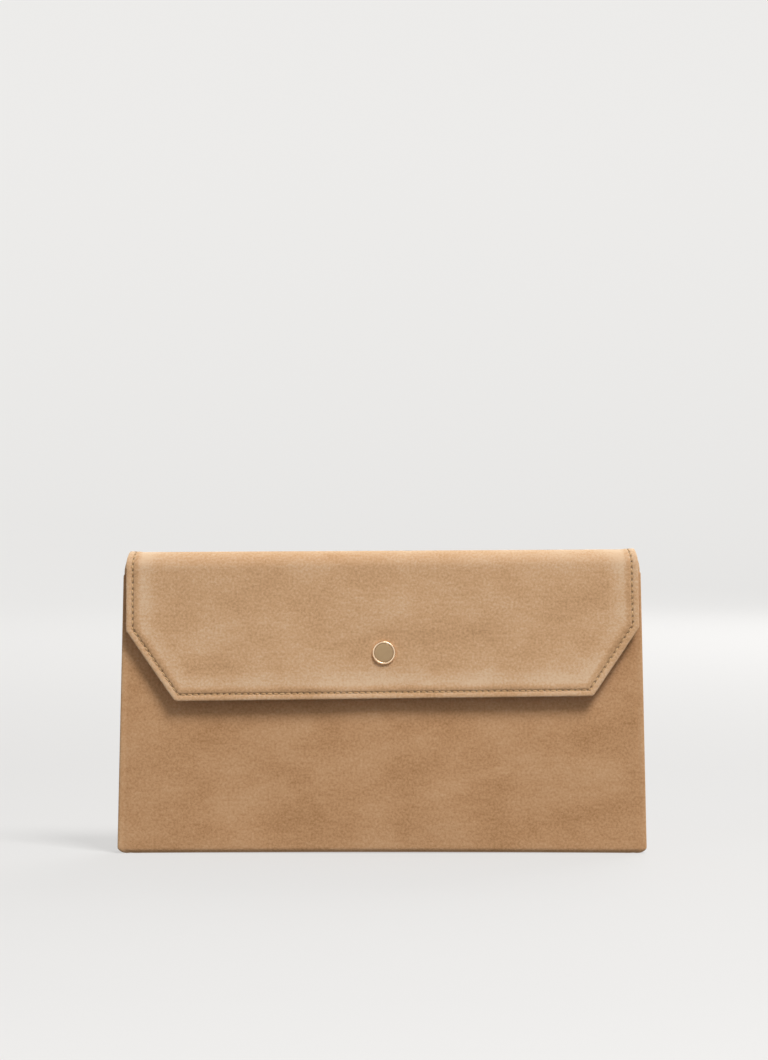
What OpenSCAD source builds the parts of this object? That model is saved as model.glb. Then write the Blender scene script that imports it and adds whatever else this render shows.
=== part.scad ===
// Slim envelope clutch wallet: turned-edge suede shell, boarded flap with chamfered
// corners, folding side gussets, textile lining, slip pocket and a capped magnetic snap.
// X runs across the width, the front faces -Y and Z is up. The origin is the centre of
// the underside of the base. The front wall and the flap share one leaning frame.

/* [Body] */
// Width across the base
body_w = 280; // [240:2:320]
// Width at the top corners of the front wall
mouth_w = 273.4; // [236:0.2:280]
// Overall height to the top of the fold
bag_h = 160; // [150:1:180]
// Height of the front wall
front_h = 148.5; // [140:0.5:148.5]
// Depth of the base
base_d = 15; // [14:0.5:18]
// Backward lean of the front wall and flap, in degrees
lean = 1.5; // [1:0.1:1.8]
// Radius of the bottom corners seen from the front
corner_r = 3; // [1:0.5:6]

/* [Layers] */
// Thickness of the outer suede
suede_t = 1.0; // [0.8:0.1:1.2]
// Thickness of the stiffening board
board_t = 0.6; // [0.4:0.1:0.8]
// Thickness of the textile lining
lining_t = 0.4; // [0.3:0.1:0.5]
// Thickness of the suede facing and of every turned hem
facing_t = 0.6; // [0.5:0.1:0.8]

/* [Flap] */
// Width of the flap where it leaves the fold
flap_w = 270; // [230:1:272]
// Width of the flap where its chamfers begin
flap_kink_w = 271.6; // [232:0.2:273]
// Width of the straight bottom edge of the flap
flap_tip_w = 223.4; // [180:0.2:240]
// Height above the floor where the chamfers begin
flap_kink_h = 117; // [112:1:124]
// Height above the floor of the flap's bottom edge
flap_tip_h = 80.2; // [72:0.2:88]
// Radius of the flap's corners
flap_corner_r = 2.5; // [1:0.5:5]
// Width of the turned hem behind the flap's edge
flap_hem_w = 8; // [6:0.5:10]

/* [Stitching] */
// Distance from an edge to its stitch line
stitch_inset = 3.4; // [2.5:0.1:4.5]
// Distance from one stitch to the next
stitch_pitch = 3.25; // [2.5:0.05:4]
// Thread width
thread_d = 0.6; // [0.4:0.1:0.8]

/* [Snap] */
// Height of the snap's centre
snap_h = 105; // [100:1:108]
// Diameter of the visible cap
cap_d = 12.4; // [10:0.1:15]
// Height of the cap above the flap
cap_t = 1.5; // [1:0.1:2]
// Diameter of the magnet half
socket_d = 14; // [13.8:0.1:15]
// Height of the magnet half above the front wall
socket_t = 2.6; // [2.4:0.1:3.2]

/* [Slip pocket] */
// Width of the pocket
pocket_w = 170; // [120:5:200]
// Height of the pocket's lower seam
pocket_z = 34; // [20:1:50]
// Height of the pocket, seam to binding
pocket_h = 90; // [60:5:95]

/* [Hidden] */
$fn = 64;

suede = "tan";
suede_inner = "burlywood";
textile = "wheat";
card = "gainsboro";
thread = "peru";
gilt = "gold";
steel = "silver";

air = 0.3;                   // gap between faces of different bodies that only meet
wall_t = suede_t + board_t + lining_t;
base_t = wall_t;
front_z0 = base_t - 0.6;     // lower edge of the front wall, just above the base suede
half_d = base_d / 2;

// the flap's stack, outwards from the front wall's face in the leaning frame
stud_t = 1.0;
flap_in = socket_t + stud_t;
flap_t = suede_t + board_t + facing_t;
flap_out = flap_in + flap_t;

// the fold is an arc tangent to the back, to the flap's face and to the top
fold_r = (base_d * cos(lean) + flap_out - bag_h * sin(lean)) / (1 + cos(lean) - sin(lean));
fold_y = half_d - fold_r;
fold_z = bag_h - fold_r;
fold_w = 268;                // width of the fold over the top
fold_end = 180 - lean;       // angle round the arc where the flap takes over
hinge_rear = 45;             // where the fold bends from the back panel
hinge_front = fold_end - 45; // where the flap bends from the fold
fold_gap = 1;                // half the angle left open at each bend

shoulder_z = front_h;        // the back panel narrows to the fold above this height
facing_z = bag_h - 14;       // where the back's board and lining end and its facing begins
hem_h = 14;                  // depth of the front wall's turned top hem
gusset_top = 143;
gusset_t = 0.8;

// ---- outlines, seen from the front ----

// half width of the body at height z
function body_half(z) = body_w / 2 + (mouth_w - body_w) / 2 * z / front_h;

// points of a polygon whose corners are rounded to r, walking the list in order
function unit(v) = v / norm(v);
function corner(a, b, c, r, steps = 6) =
    let (u = unit(a - b), w = unit(c - b), half = acos(u * w) / 2,
         cut = r / tan(half), mid = b + unit(u + w) * r / sin(half),
         p = b + u * cut - mid, q = b + w * cut - mid)
    [for (i = [0:steps])
        mid + (p * sin((1 - i / steps) * (180 - 2 * half)) + q * sin(i / steps * (180 - 2 * half)))
            / sin(180 - 2 * half)];
function rounded(pts, radii) = [for (i = [0:len(pts) - 1])
    each radii[i] == 0 ? [pts[i]]
        : corner(pts[(i + len(pts) - 1) % len(pts)], pts[i], pts[(i + 1) % len(pts)], radii[i])];

// the list of right-hand points, bottom to top, and its mirror image
function both_sides(right) = concat(right,
    [for (i = [len(right) - 1:-1:0]) [-right[i][0], right[i][1]]]);

function wall_outline(z0, z1, inset = 0, r = corner_r) = rounded(
    both_sides([[body_half(z0) - inset, z0], [body_half(z1) - inset, z1]]),
    [r, 1.5, 1.5, r]);

function back_outline(z0, z1) = rounded(
    both_sides([[body_half(z0), z0], [body_half(shoulder_z), shoulder_z],
        [fold_w / 2, shoulder_z + 1.5], [fold_w / 2, z1]]),
    [corner_r, 1, 1, 0, 0, 1, 1, corner_r]);

// the flap in its own plane: height is measured up the leaning frame
flap_top_v = (fold_z + fold_r * sin(lean) - flap_out * sin(lean)) / cos(lean);
kink_v = flap_kink_h / cos(lean);
tip_v = flap_tip_h / cos(lean);
chamfer = unit([flap_kink_w - flap_tip_w, 2 * (kink_v - tip_v)]);
function flap_corners(inset, top) = let (
    slant = inset * (1 - chamfer[0]) / chamfer[1],
    rise = inset * chamfer[0] / (1 + chamfer[1]))
    [[flap_tip_w / 2 - slant, tip_v + inset], [flap_kink_w / 2 - inset, kink_v + rise],
        [flap_w / 2 - inset, top]];
function flap_outline(inset, top) = rounded(both_sides(flap_corners(inset, top)),
    [flap_corner_r, flap_corner_r, 0, 0, flap_corner_r, flap_corner_r]);

// ---- frames and plates ----

// the leaning frame: y = 0 is the front wall's outer face, z runs up it
module leaning() {
    translate([0, -half_d, 0]) rotate([-lean, 0, 0]) children();
}

// an upright plate of a front-view outline, from y0 to y0 + t
module plate(outline, y0, t) {
    translate([0, y0 + t, 0]) rotate([90, 0, 0]) linear_extrude(t) polygon(outline);
}

// a profile drawn in y and z, run across the width w
module across(w) {
    translate([-w / 2, 0, 0]) rotate([90, 0, 90]) linear_extrude(w) children();
}

// a sector of the fold between two radii and two angles
module fold_arc(r_in, r_out, a0, a1, w) {
    reach = 2 * r_out;
    translate([0, fold_y, fold_z]) across(w) intersection() {
        difference() {
            circle(r_out);
            circle(r_in);
        }
        polygon([[0, 0], reach * [cos(a0), sin(a0)],
            reach * [cos((a0 + a1) / 2), sin((a0 + a1) / 2)], reach * [cos(a1), sin(a1)]]);
    }
}

// a disc whose flat faces look along y, from y0 outwards to y0 - t
module disc(d, y0, t, d_hole = 0) {
    rotate([90, 0, 0]) translate([0, 0, -y0]) difference() {
        cylinder(d = d, h = t);
        if (d_hole > 0) translate([0, 0, -1]) cylinder(d = d_hole, h = t + 2);
    }
}

// one stitch: a flattened bar of thread lying on a face, its length along x
module stitch() {
    len = stitch_pitch * 0.78;
    translate([-len / 2, -thread_d / 2, 0]) cube([len, thread_d, thread_d / 2]);
}

// stitches on the plane y = y0, from point a to point b of the front view, out towards dir
module stitch_run(a, b, y0, dir = -1) {
    n = round(norm(b - a) / stitch_pitch);
    turn = atan2(b[1] - a[1], b[0] - a[0]);
    for (i = [0:n - 1]) {
        p = a + (b - a) * (i + 0.5) / n;
        translate([p[0], y0, p[1]]) rotate([0, -turn, 0]) rotate([dir < 0 ? 90 : -90, 0, 0]) stitch();
    }
}

// stitches over the fold at both sides, between two angles of the arc
module stitch_over(a0, a1) {
    n = floor((a1 - a0) * PI / 180 * fold_r / stitch_pitch);
    for (side = [-1, 1], i = [0:n - 1])
        translate([side * (fold_w / 2 - stitch_inset), fold_y, fold_z])
            rotate([a0 + (a1 - a0) * (i + 0.5) / n - 90, 0, 0])
                translate([0, 0, fold_r]) rotate([0, 0, 90]) stitch();
}

// ---- base ----

module base_panel() {
    color(suede) translate([-body_w / 2, -half_d, 0]) cube([body_w, base_d, suede_t]);
}

// the base's inner layers stop here, clear of the front wall
base_front = -half_d + wall_t + 0.4;
base_inner_w = body_w - 2 * corner_r;

module base_board() {
    color(card) translate([-base_inner_w / 2, base_front, suede_t])
        cube([base_inner_w, half_d - suede_t - board_t - base_front, board_t]);
}

module base_lining() {
    color(textile) translate([-base_inner_w / 2, base_front, suede_t + board_t])
        cube([base_inner_w, half_d - wall_t - base_front, lining_t]);
}

// ---- back wall ----

module back_panel() {
    color(suede) {
        plate(back_outline(suede_t, fold_z), half_d - suede_t, suede_t);
        fold_arc(fold_r - suede_t, fold_r, 0, hinge_rear - fold_gap, fold_w);
    }
}

module back_board() {
    color(card) plate(wall_outline(suede_t, facing_z, 1), half_d - suede_t - board_t, board_t);
}

module back_lining() {
    color(textile) plate(wall_outline(base_t - lining_t, facing_z, 1.5), half_d - wall_t, lining_t);
}

module back_facing() {
    w = fold_w - 2;
    color(suede_inner) {
        translate([-w / 2, half_d - suede_t - facing_t, facing_z])
            cube([w, facing_t, fold_z - facing_z]);
        fold_arc(fold_r - suede_t - facing_t, fold_r - suede_t, 0, hinge_rear - fold_gap, w);
    }
}

module back_fold_stitching() {
    color(thread) stitch_over(0, hinge_rear - fold_gap);
}

// ---- slip pocket on the back lining ----

pocket_gap = 0.6;             // room left behind the pocket's sheet
pocket_seam = 2;              // width sewn down at the sides and the bottom
pocket_y = half_d - wall_t - pocket_gap - lining_t;

module slip_pocket() {
    color(textile) difference() {
        translate([-pocket_w / 2, pocket_y, pocket_z]) cube([pocket_w, lining_t + pocket_gap, pocket_h]);
        translate([-pocket_w / 2 + pocket_seam, pocket_y + lining_t, pocket_z + pocket_seam])
            cube([pocket_w - 2 * pocket_seam, pocket_gap + 1, pocket_h]);
    }
}

module slip_pocket_binding() {
    bind_h = 8;
    color(suede_inner) translate([-pocket_w / 2, pocket_y - 0.5, pocket_z + pocket_h - bind_h])
        cube([pocket_w, 0.5, bind_h]);
}

module slip_pocket_stitching() {
    x = pocket_w / 2 - pocket_seam / 2;
    z0 = pocket_z + pocket_seam / 2;
    z1 = pocket_z + pocket_h - 9;
    color(thread) {
        stitch_run([-x, z1], [-x, z0], pocket_y);
        stitch_run([-x, z0], [x, z0], pocket_y);
        stitch_run([x, z0], [x, z1], pocket_y);
        stitch_run([-x, z1 + 3], [x, z1 + 3], pocket_y - 0.5);
    }
}

// ---- gussets: sheets folded inwards between the walls ----

// one gusset sheet on the right: x offset of its outer face from the side edge, and thickness
module gusset_sheet(offset, t) {
    levels = [base_t + 0.2, gusset_top];
    fold_in = 0.75;          // inward fold, as a share of the depth between the walls
    pts = [for (z = levels)
        let (x = body_half(z) - 1.5 - offset, rear = half_d - wall_t,
             front = -half_d + wall_t + 0.55 + z * tan(lean), mid = (rear + front) / 2,
             deep = fold_in * (rear - front))
        each [[x, rear, z], [x - deep, mid, z], [x, front, z],
            [x - t, front, z], [x - deep - t, mid, z], [x - t, rear, z]]];
    sides = [for (i = [0:5]) [i, (i + 1) % 6, 6 + (i + 1) % 6, 6 + i]];
    polyhedron(pts, concat(sides, [[5, 4, 1, 0], [4, 3, 2, 1], [6, 7, 10, 11], [7, 8, 9, 10]]));
}

module gusset(side) {
    color(suede) mirror([side < 0 ? 1 : 0, 0, 0]) gusset_sheet(0, gusset_t);
}

module gusset_lining(side) {
    color(textile) mirror([side < 0 ? 1 : 0, 0, 0]) gusset_sheet(gusset_t, 0.5);
}

// ---- front wall ----

board_hole = 18;              // opening in the board for the snap's washer
prong_x = 4;                  // where the snap's two prongs pass
prong = [2.4, 0.5];           // width and thickness of a prong

module at_snap() {
    leaning() translate([0, 0, snap_h / cos(lean)]) children();
}

module front_panel() {
    hem_in = suede_t + board_t + facing_t;
    color(suede) difference() {
        leaning() intersection() {
            plate(wall_outline(front_z0, front_h), 0, hem_in);
            across(body_w) polygon([[0, front_z0], [suede_t, front_z0], [suede_t, front_h - facing_t],
                [suede_t + board_t, front_h - facing_t], [suede_t + board_t, front_h - hem_h],
                [hem_in, front_h - hem_h], [hem_in, front_h], [0, front_h]]);
        }
        at_snap() for (side = [-1, 1]) translate([side * prong_x - 0.35, -1, -1.4]) cube([0.7, 5, 2.8]);
    }
}

module front_board() {
    color(card) difference() {
        leaning() plate(wall_outline(front_z0 + 0.4, front_h - facing_t, 1), suede_t, board_t);
        at_snap() disc(board_hole, 3, 4);
    }
}

module front_lining() {
    color(textile) leaning()
        plate(wall_outline(front_z0 + 0.4, front_h - hem_h, 1.5), suede_t + board_t, lining_t);
}

module front_stitching() {
    z = front_h - stitch_inset;
    x = body_half(z) - stitch_inset;
    color(thread) leaning() {
        stitch_run([-x, z], [x, z], 0);
        stitch_run([-x, z], [x, z], suede_t + board_t + facing_t, 1);
    }
}

// ---- magnetic snap, front half ----

well_d = 5.2;                 // the well that takes the stud's nipple

module socket_cover() {
    color(gilt) at_snap() rotate([90, 0, 0]) rotate_extrude() difference() {
        union() {
            translate([0, 0]) square([socket_d / 2, socket_t - 0.5]);
            square([socket_d / 2 - 0.5, socket_t]);
            translate([socket_d / 2 - 0.5, socket_t - 0.5]) circle(0.5);
        }
        translate([-1, -1]) square([well_d / 2 + 1, socket_t + 2]);
        translate([-1, -1]) square([socket_d / 2 - 0.4 + 1, socket_t - 0.4 + 1]);
    }
}

module socket_magnet() {
    color("dimgray") at_snap() disc(socket_d - 0.9, -0.6, socket_t - 1.05, well_d + 0.4);
}

module socket_base() {
    color(steel) at_snap() {
        disc(socket_d - 0.9, 0, 0.55);
        for (side = [-1, 1]) {
            translate([side * prong_x - prong[1] / 2, 0, -prong[0] / 2]) cube([prong[1], suede_t + 0.6, prong[0]]);
            translate([side > 0 ? 0.8 : -prong_x - prong[1] / 2, suede_t + 0.35, -prong[0] / 2])
                cube([prong_x + prong[1] / 2 - 0.8, 0.25, prong[0]]);
        }
    }
}

module socket_washer() {
    color(steel) difference() {
        at_snap() disc(board_hole - 1, suede_t + 0.3, 0.3);
        at_snap() for (side = [-1, 1]) translate([side * prong_x - 0.35, 0, -1.4]) cube([0.7, 5, 2.8]);
    }
}

// ---- fold over the top ----

module fold_panel() {
    color(suede) fold_arc(fold_r - suede_t, fold_r, hinge_rear + fold_gap, hinge_front - fold_gap, fold_w);
}

module fold_facing() {
    color(suede_inner) fold_arc(fold_r - suede_t - facing_t, fold_r - suede_t,
        hinge_rear + fold_gap, hinge_front - fold_gap, fold_w - 2);
}

module fold_stitching() {
    color(thread) stitch_over(hinge_rear + fold_gap, hinge_front - fold_gap);
}

// ---- flap ----

post_d = 3;                   // the cap's rivet post

module flap_panel() {
    color(suede) difference() {
        union() {
            leaning() {
                plate(flap_outline(0, flap_top_v), -flap_out, suede_t);
                difference() {
                    plate(flap_outline(0.3, flap_top_v), -flap_out + suede_t, board_t);
                    plate(flap_outline(flap_hem_w, flap_top_v + flap_hem_w), -flap_out, 4);
                }
            }
            fold_arc(fold_r - suede_t, fold_r, hinge_front + fold_gap, fold_end, fold_w);
        }
        at_snap() disc(post_d + 0.2, 0, 12);
    }
}

module flap_board() {
    color(card) difference() {
        leaning() plate(flap_outline(flap_hem_w + 0.3, flap_top_v - 4), -flap_out + suede_t, board_t);
        at_snap() disc(post_d + 0.2, 0, 12);
    }
}

// a point y out of the front wall's face and v up it, in the plane of y and z
function lean_point(y, v) = [-half_d + y * cos(lean) + v * sin(lean), v * cos(lean) - y * sin(lean)];
function arc_points(r, a0, a1, steps) = [for (i = [0:steps])
    let (a = a0 + (a1 - a0) * i / steps) [fold_y + r * cos(a), fold_z + r * sin(a)]];

// the facing runs down inside the bend and steps over the edge of the board
module facing_bend() {
    r_out = fold_r - suede_t;
    board_face = -flap_out + suede_t;
    across(flap_w - 2 * flap_hem_w - 1) polygon(concat(
        arc_points(r_out, hinge_front + fold_gap, fold_end, 14),
        [lean_point(board_face, flap_top_v - 3.5), lean_point(board_face + 0.9, flap_top_v - 3.5),
            lean_point(board_face + 0.9, flap_top_v - 0.4)],
        arc_points(r_out - facing_t, fold_end, hinge_front + fold_gap, 14)));
}

module flap_facing() {
    color(suede_inner) difference() {
        union() {
            leaning() plate(flap_outline(1.2, flap_top_v - 1), -flap_in - facing_t, facing_t);
            facing_bend();
        }
        at_snap() disc(post_d + 0.2, 0, 12);
    }
}

// the stitched line round the flap, inset from its edge, on the plane y0
module flap_seam(y0, dir) {
    c = flap_corners(stitch_inset, flap_top_v - 2);
    leaning() for (side = [-1, 1]) {
        m = [side, 1];
        stitch_run([m[0] * c[2][0], c[2][1]], [m[0] * c[1][0], c[1][1]], y0, dir);
        stitch_run([m[0] * c[1][0], c[1][1]], [m[0] * c[0][0], c[0][1]], y0, dir);
        if (side > 0) stitch_run([-c[0][0], c[0][1]], c[0], y0, dir);
    }
}

module flap_stitching() {
    color(thread) {
        flap_seam(-flap_out, -1);
        stitch_over(hinge_front + fold_gap, fold_end);
    }
}

module flap_underside_stitching() {
    color(thread) flap_seam(-flap_in, 1);
}

// ---- magnetic snap, flap half, and its cap ----

recess_t = 0.7;               // depth of the cap's face below its rim
disc_t = 0.45;                // thickness of the inlaid disc
rim_w = 0.75;                 // width of the polished rim

module snap_cap() {
    color(gilt) at_snap() translate([0, -flap_out, 0]) rotate([90, 0, 0]) rotate_extrude() difference() {
        union() {
            square([cap_d / 2, cap_t - rim_w / 2]);
            translate([0, cap_t - rim_w]) square([cap_d / 2 - rim_w / 2, rim_w]);
            translate([cap_d / 2 - rim_w / 2, cap_t - rim_w / 2]) circle(rim_w / 2);
            translate([0, -flap_t - 0.5]) square([post_d / 2, flap_t + 1]);
        }
        translate([-1, cap_t - recess_t]) square([cap_d / 2 - rim_w + 1, 2]);
        translate([-2, -5]) square([2, 12]);
    }
}

module snap_cap_disc() {
    color("darkkhaki") at_snap() disc(cap_d - 2 * rim_w - 0.06, -flap_out - cap_t + recess_t, disc_t);
}

module snap_stud() {
    color(steel) difference() {
        at_snap() disc(socket_d - 0.4, -flap_in + stud_t - air, stud_t - air);
        at_snap() disc(post_d + 0.1, -flap_in + 0.55, 2);
    }
}

module snap_nipple() {
    d = 4.2;
    color(steel) at_snap() translate([0, -flap_in + stud_t - air, 0]) rotate([-90, 0, 0])
        rotate_extrude() {
            square([d / 2, 1]);
            square([d / 2 - 0.4, 1.4]);
            translate([d / 2 - 0.4, 1]) intersection() {
                circle(0.4);
                square(1);
            }
        }
}

base_panel();
base_board();
base_lining();
back_panel();
back_board();
back_lining();
back_facing();
back_fold_stitching();
slip_pocket();
slip_pocket_binding();
slip_pocket_stitching();
gusset(-1);  // gusset_left
gusset(1);  // gusset_right
gusset_lining(-1);  // gusset_lining_left
gusset_lining(1);  // gusset_lining_right
front_panel();
front_board();
front_lining();
front_stitching();
socket_cover();
socket_magnet();
socket_base();
socket_washer();
fold_panel();
fold_facing();
fold_stitching();
flap_panel();
flap_board();
flap_facing();
flap_stitching();
flap_underside_stitching();
snap_cap();
snap_cap_disc();
snap_stud();
snap_nipple();
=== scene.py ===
"""Looks of a slim suede envelope clutch wallet, built on the frame of its CAD model.

Every sheet of suede, facing, board and lining is first laid out flat, in millimetres: u runs
across the width, and s along the wallet's section. Sheets of the back are bent onto a section
that runs from the middle of the base up the back, over the fold and down the flap. Sheets of
the front are bent onto one that runs the other way, up the front wall. A height h then lifts a
point off the shell's outer face, so each layer lies where it does in the real stack.
"""
import logging
import math
from dataclasses import dataclass, field
from enum import Enum
from typing import Any, Callable, Sequence

import bpy
import numpy as np
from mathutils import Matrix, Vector


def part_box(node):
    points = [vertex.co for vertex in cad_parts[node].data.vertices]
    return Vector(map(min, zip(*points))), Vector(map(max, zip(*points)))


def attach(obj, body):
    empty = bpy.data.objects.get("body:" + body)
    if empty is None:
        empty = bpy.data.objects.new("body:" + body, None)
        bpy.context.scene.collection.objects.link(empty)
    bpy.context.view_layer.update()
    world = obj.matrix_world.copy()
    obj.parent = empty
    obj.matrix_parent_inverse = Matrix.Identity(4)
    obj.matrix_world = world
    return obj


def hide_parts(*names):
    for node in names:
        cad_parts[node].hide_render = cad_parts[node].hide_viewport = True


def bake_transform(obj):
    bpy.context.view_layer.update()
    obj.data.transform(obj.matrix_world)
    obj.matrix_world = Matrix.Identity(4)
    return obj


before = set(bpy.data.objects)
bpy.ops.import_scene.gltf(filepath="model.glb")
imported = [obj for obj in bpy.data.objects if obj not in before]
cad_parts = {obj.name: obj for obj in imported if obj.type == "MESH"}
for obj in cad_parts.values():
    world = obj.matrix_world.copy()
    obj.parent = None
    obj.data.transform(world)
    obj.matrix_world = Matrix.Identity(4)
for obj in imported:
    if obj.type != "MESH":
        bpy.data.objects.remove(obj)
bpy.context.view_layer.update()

MM = 0.001
SEAM_IN = 3.4  # distance of every seam from its edge, in millimetres
PITCH = 3.25  # length of a stitch with its gap
LOG = logging.getLogger("wallet")


# ---------------------------------------------------------------- small helpers


def to_linear(hex_colour: str) -> tuple[float, float, float, float]:
    """Turns an sRGB hex value into linear colour.

    Args:
        hex_colour: Six hex digits, with or without a leading #.

    Returns:
        Linear red, green, blue and an alpha of 1.
    """
    digits = hex_colour.lstrip("#")
    parts = [int(digits[i : i + 2], 16) / 255 for i in (0, 2, 4)]
    linear = [p / 12.92 if p <= 0.04045 else ((p + 0.055) / 1.055) ** 2.4 for p in parts]
    return (linear[0], linear[1], linear[2], 1.0)


def add_node(tree: bpy.types.NodeTree, kind: str, *values: Any, **options: Any) -> bpy.types.Node:
    """Adds one node, sets its properties and fills or links its inputs.

    Args:
        tree: The node tree.
        kind: The node's Blender type name.
        values: Values of its first inputs, in order.
        options: With a capital, an input's name, with underscores for spaces; i0, i1 ... for an
            input by number; and otherwise a property of the node, such as operation. An output
            socket, or a node for its first output, is linked, and any other value is set.

    Returns:
        The new node.
    """
    node = tree.nodes.new(kind)
    inputs: dict[int | str, Any] = dict(enumerate(values))
    for name, value in options.items():
        if name[0].isupper():
            inputs[name.replace("_", " ")] = value
        elif name[1:].isdigit():
            inputs[int(name[1:])] = value
        else:
            setattr(node, name, value)
    for key, value in inputs.items():
        source = value.outputs[0] if isinstance(value, bpy.types.Node) else value
        if isinstance(source, bpy.types.NodeSocket):
            tree.links.new(source, node.inputs[key])
        else:
            node.inputs[key].default_value = source
    return node


def smoothstep(x: np.ndarray | float) -> np.ndarray:
    """Eases from 0 to 1 over the unit interval, and holds outside it."""
    t = np.clip(x, 0.0, 1.0)
    return t * t * (3 - 2 * t)


def unit(v: np.ndarray) -> np.ndarray:
    """Scales one vector to length 1."""
    return v / max(float(np.linalg.norm(v)), 1e-12)


def distances(line: np.ndarray) -> np.ndarray:
    """How far along a line each of its points lies."""
    steps = np.linalg.norm(np.diff(line, axis=0), axis=1)
    return np.concatenate([[0], np.cumsum(steps)])


def revolved(profile: Sequence[tuple[float, float]], turns: int, closed: bool
             ) -> tuple[np.ndarray, list[tuple[int, ...]]]:
    """Turns a profile round the z axis.

    Args:
        profile: Pairs of radius and height that start on the axis, and end there if closed.
        turns: How many sides the round has.
        closed: Whether the profile ends on the axis.

    Returns:
        Rows of x, y and z, and the faces.
    """
    angles = 2 * math.pi * np.arange(turns) / turns
    rings = profile[1:-1] if closed else profile[1:]
    points = [(0.0, 0.0, profile[0][1])]
    points += [(r * math.cos(a), r * math.sin(a), h) for r, h in rings for a in angles]
    faces: list[tuple[int, ...]] = []
    for k in range(turns):
        m = (k + 1) % turns
        faces.append((0, 1 + k, 1 + m))
        for a in range(1, 1 + (len(rings) - 1) * turns, turns):
            faces.append((a + k, a + turns + k, a + turns + m, a + m))
        if closed:
            last = 1 + (len(rings) - 1) * turns
            faces.append((last + k, len(points), last + m))
    if closed:
        points.append((0.0, 0.0, profile[-1][1]))
    return np.array(points), faces


# ---------------------------------------------------------------- sizes and sections


@dataclass(frozen=True)
class Leg:
    """One stretch of a section: straight, or an arc that turns left by a positive angle."""

    length: float
    turn: float = 0.0


@dataclass(frozen=True)
class Section:
    """The line of the shell's outer face in the plane of y and z, in millimetres.

    Attributes:
        start: Where it starts.
        heading: Its first direction, as an angle from +y towards +z.
        legs: Its stretches in order. The first and the last run on past their ends.
        right_out: 1 if the outer face is on the right of the direction, and -1 if on the left.
    """

    start: tuple[float, float]
    heading: float
    legs: tuple[Leg, ...]
    right_out: int

    def at(self, s: np.ndarray) -> tuple[np.ndarray, np.ndarray]:
        """Finds points and outward normals along the line.

        Args:
            s: Distances along the line.

        Returns:
            The points and the normals, each as rows of y and z.
        """
        s = np.asarray(s, float)
        points, angles = np.zeros((s.size, 2)), np.zeros(s.size)
        y, z = self.start
        angle, walked = self.heading, 0.0
        for number, leg in enumerate(self.legs):
            low = -np.inf if number == 0 else walked
            high = np.inf if number == len(self.legs) - 1 else walked + leg.length
            mine = (s >= low) & (s < high)
            run = s[mine] - walked
            if leg.turn:
                rate = leg.turn / leg.length
                there = angle + rate * run
                points[mine, 0] = y + (np.sin(there) - math.sin(angle)) / rate
                points[mine, 1] = z - (np.cos(there) - math.cos(angle)) / rate
                y += (math.sin(angle + leg.turn) - math.sin(angle)) / rate
                z -= (math.cos(angle + leg.turn) - math.cos(angle)) / rate
            else:
                there = np.full(run.shape, angle)
                points[mine, 0] = y + run * math.cos(angle)
                points[mine, 1] = z + run * math.sin(angle)
                y += leg.length * math.cos(angle)
                z += leg.length * math.sin(angle)
            angles[mine] = there
            angle += leg.turn
            walked += leg.length
        normals = np.stack([np.sin(angles), -np.cos(angles)], 1) * self.right_out
        return points, normals


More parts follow.
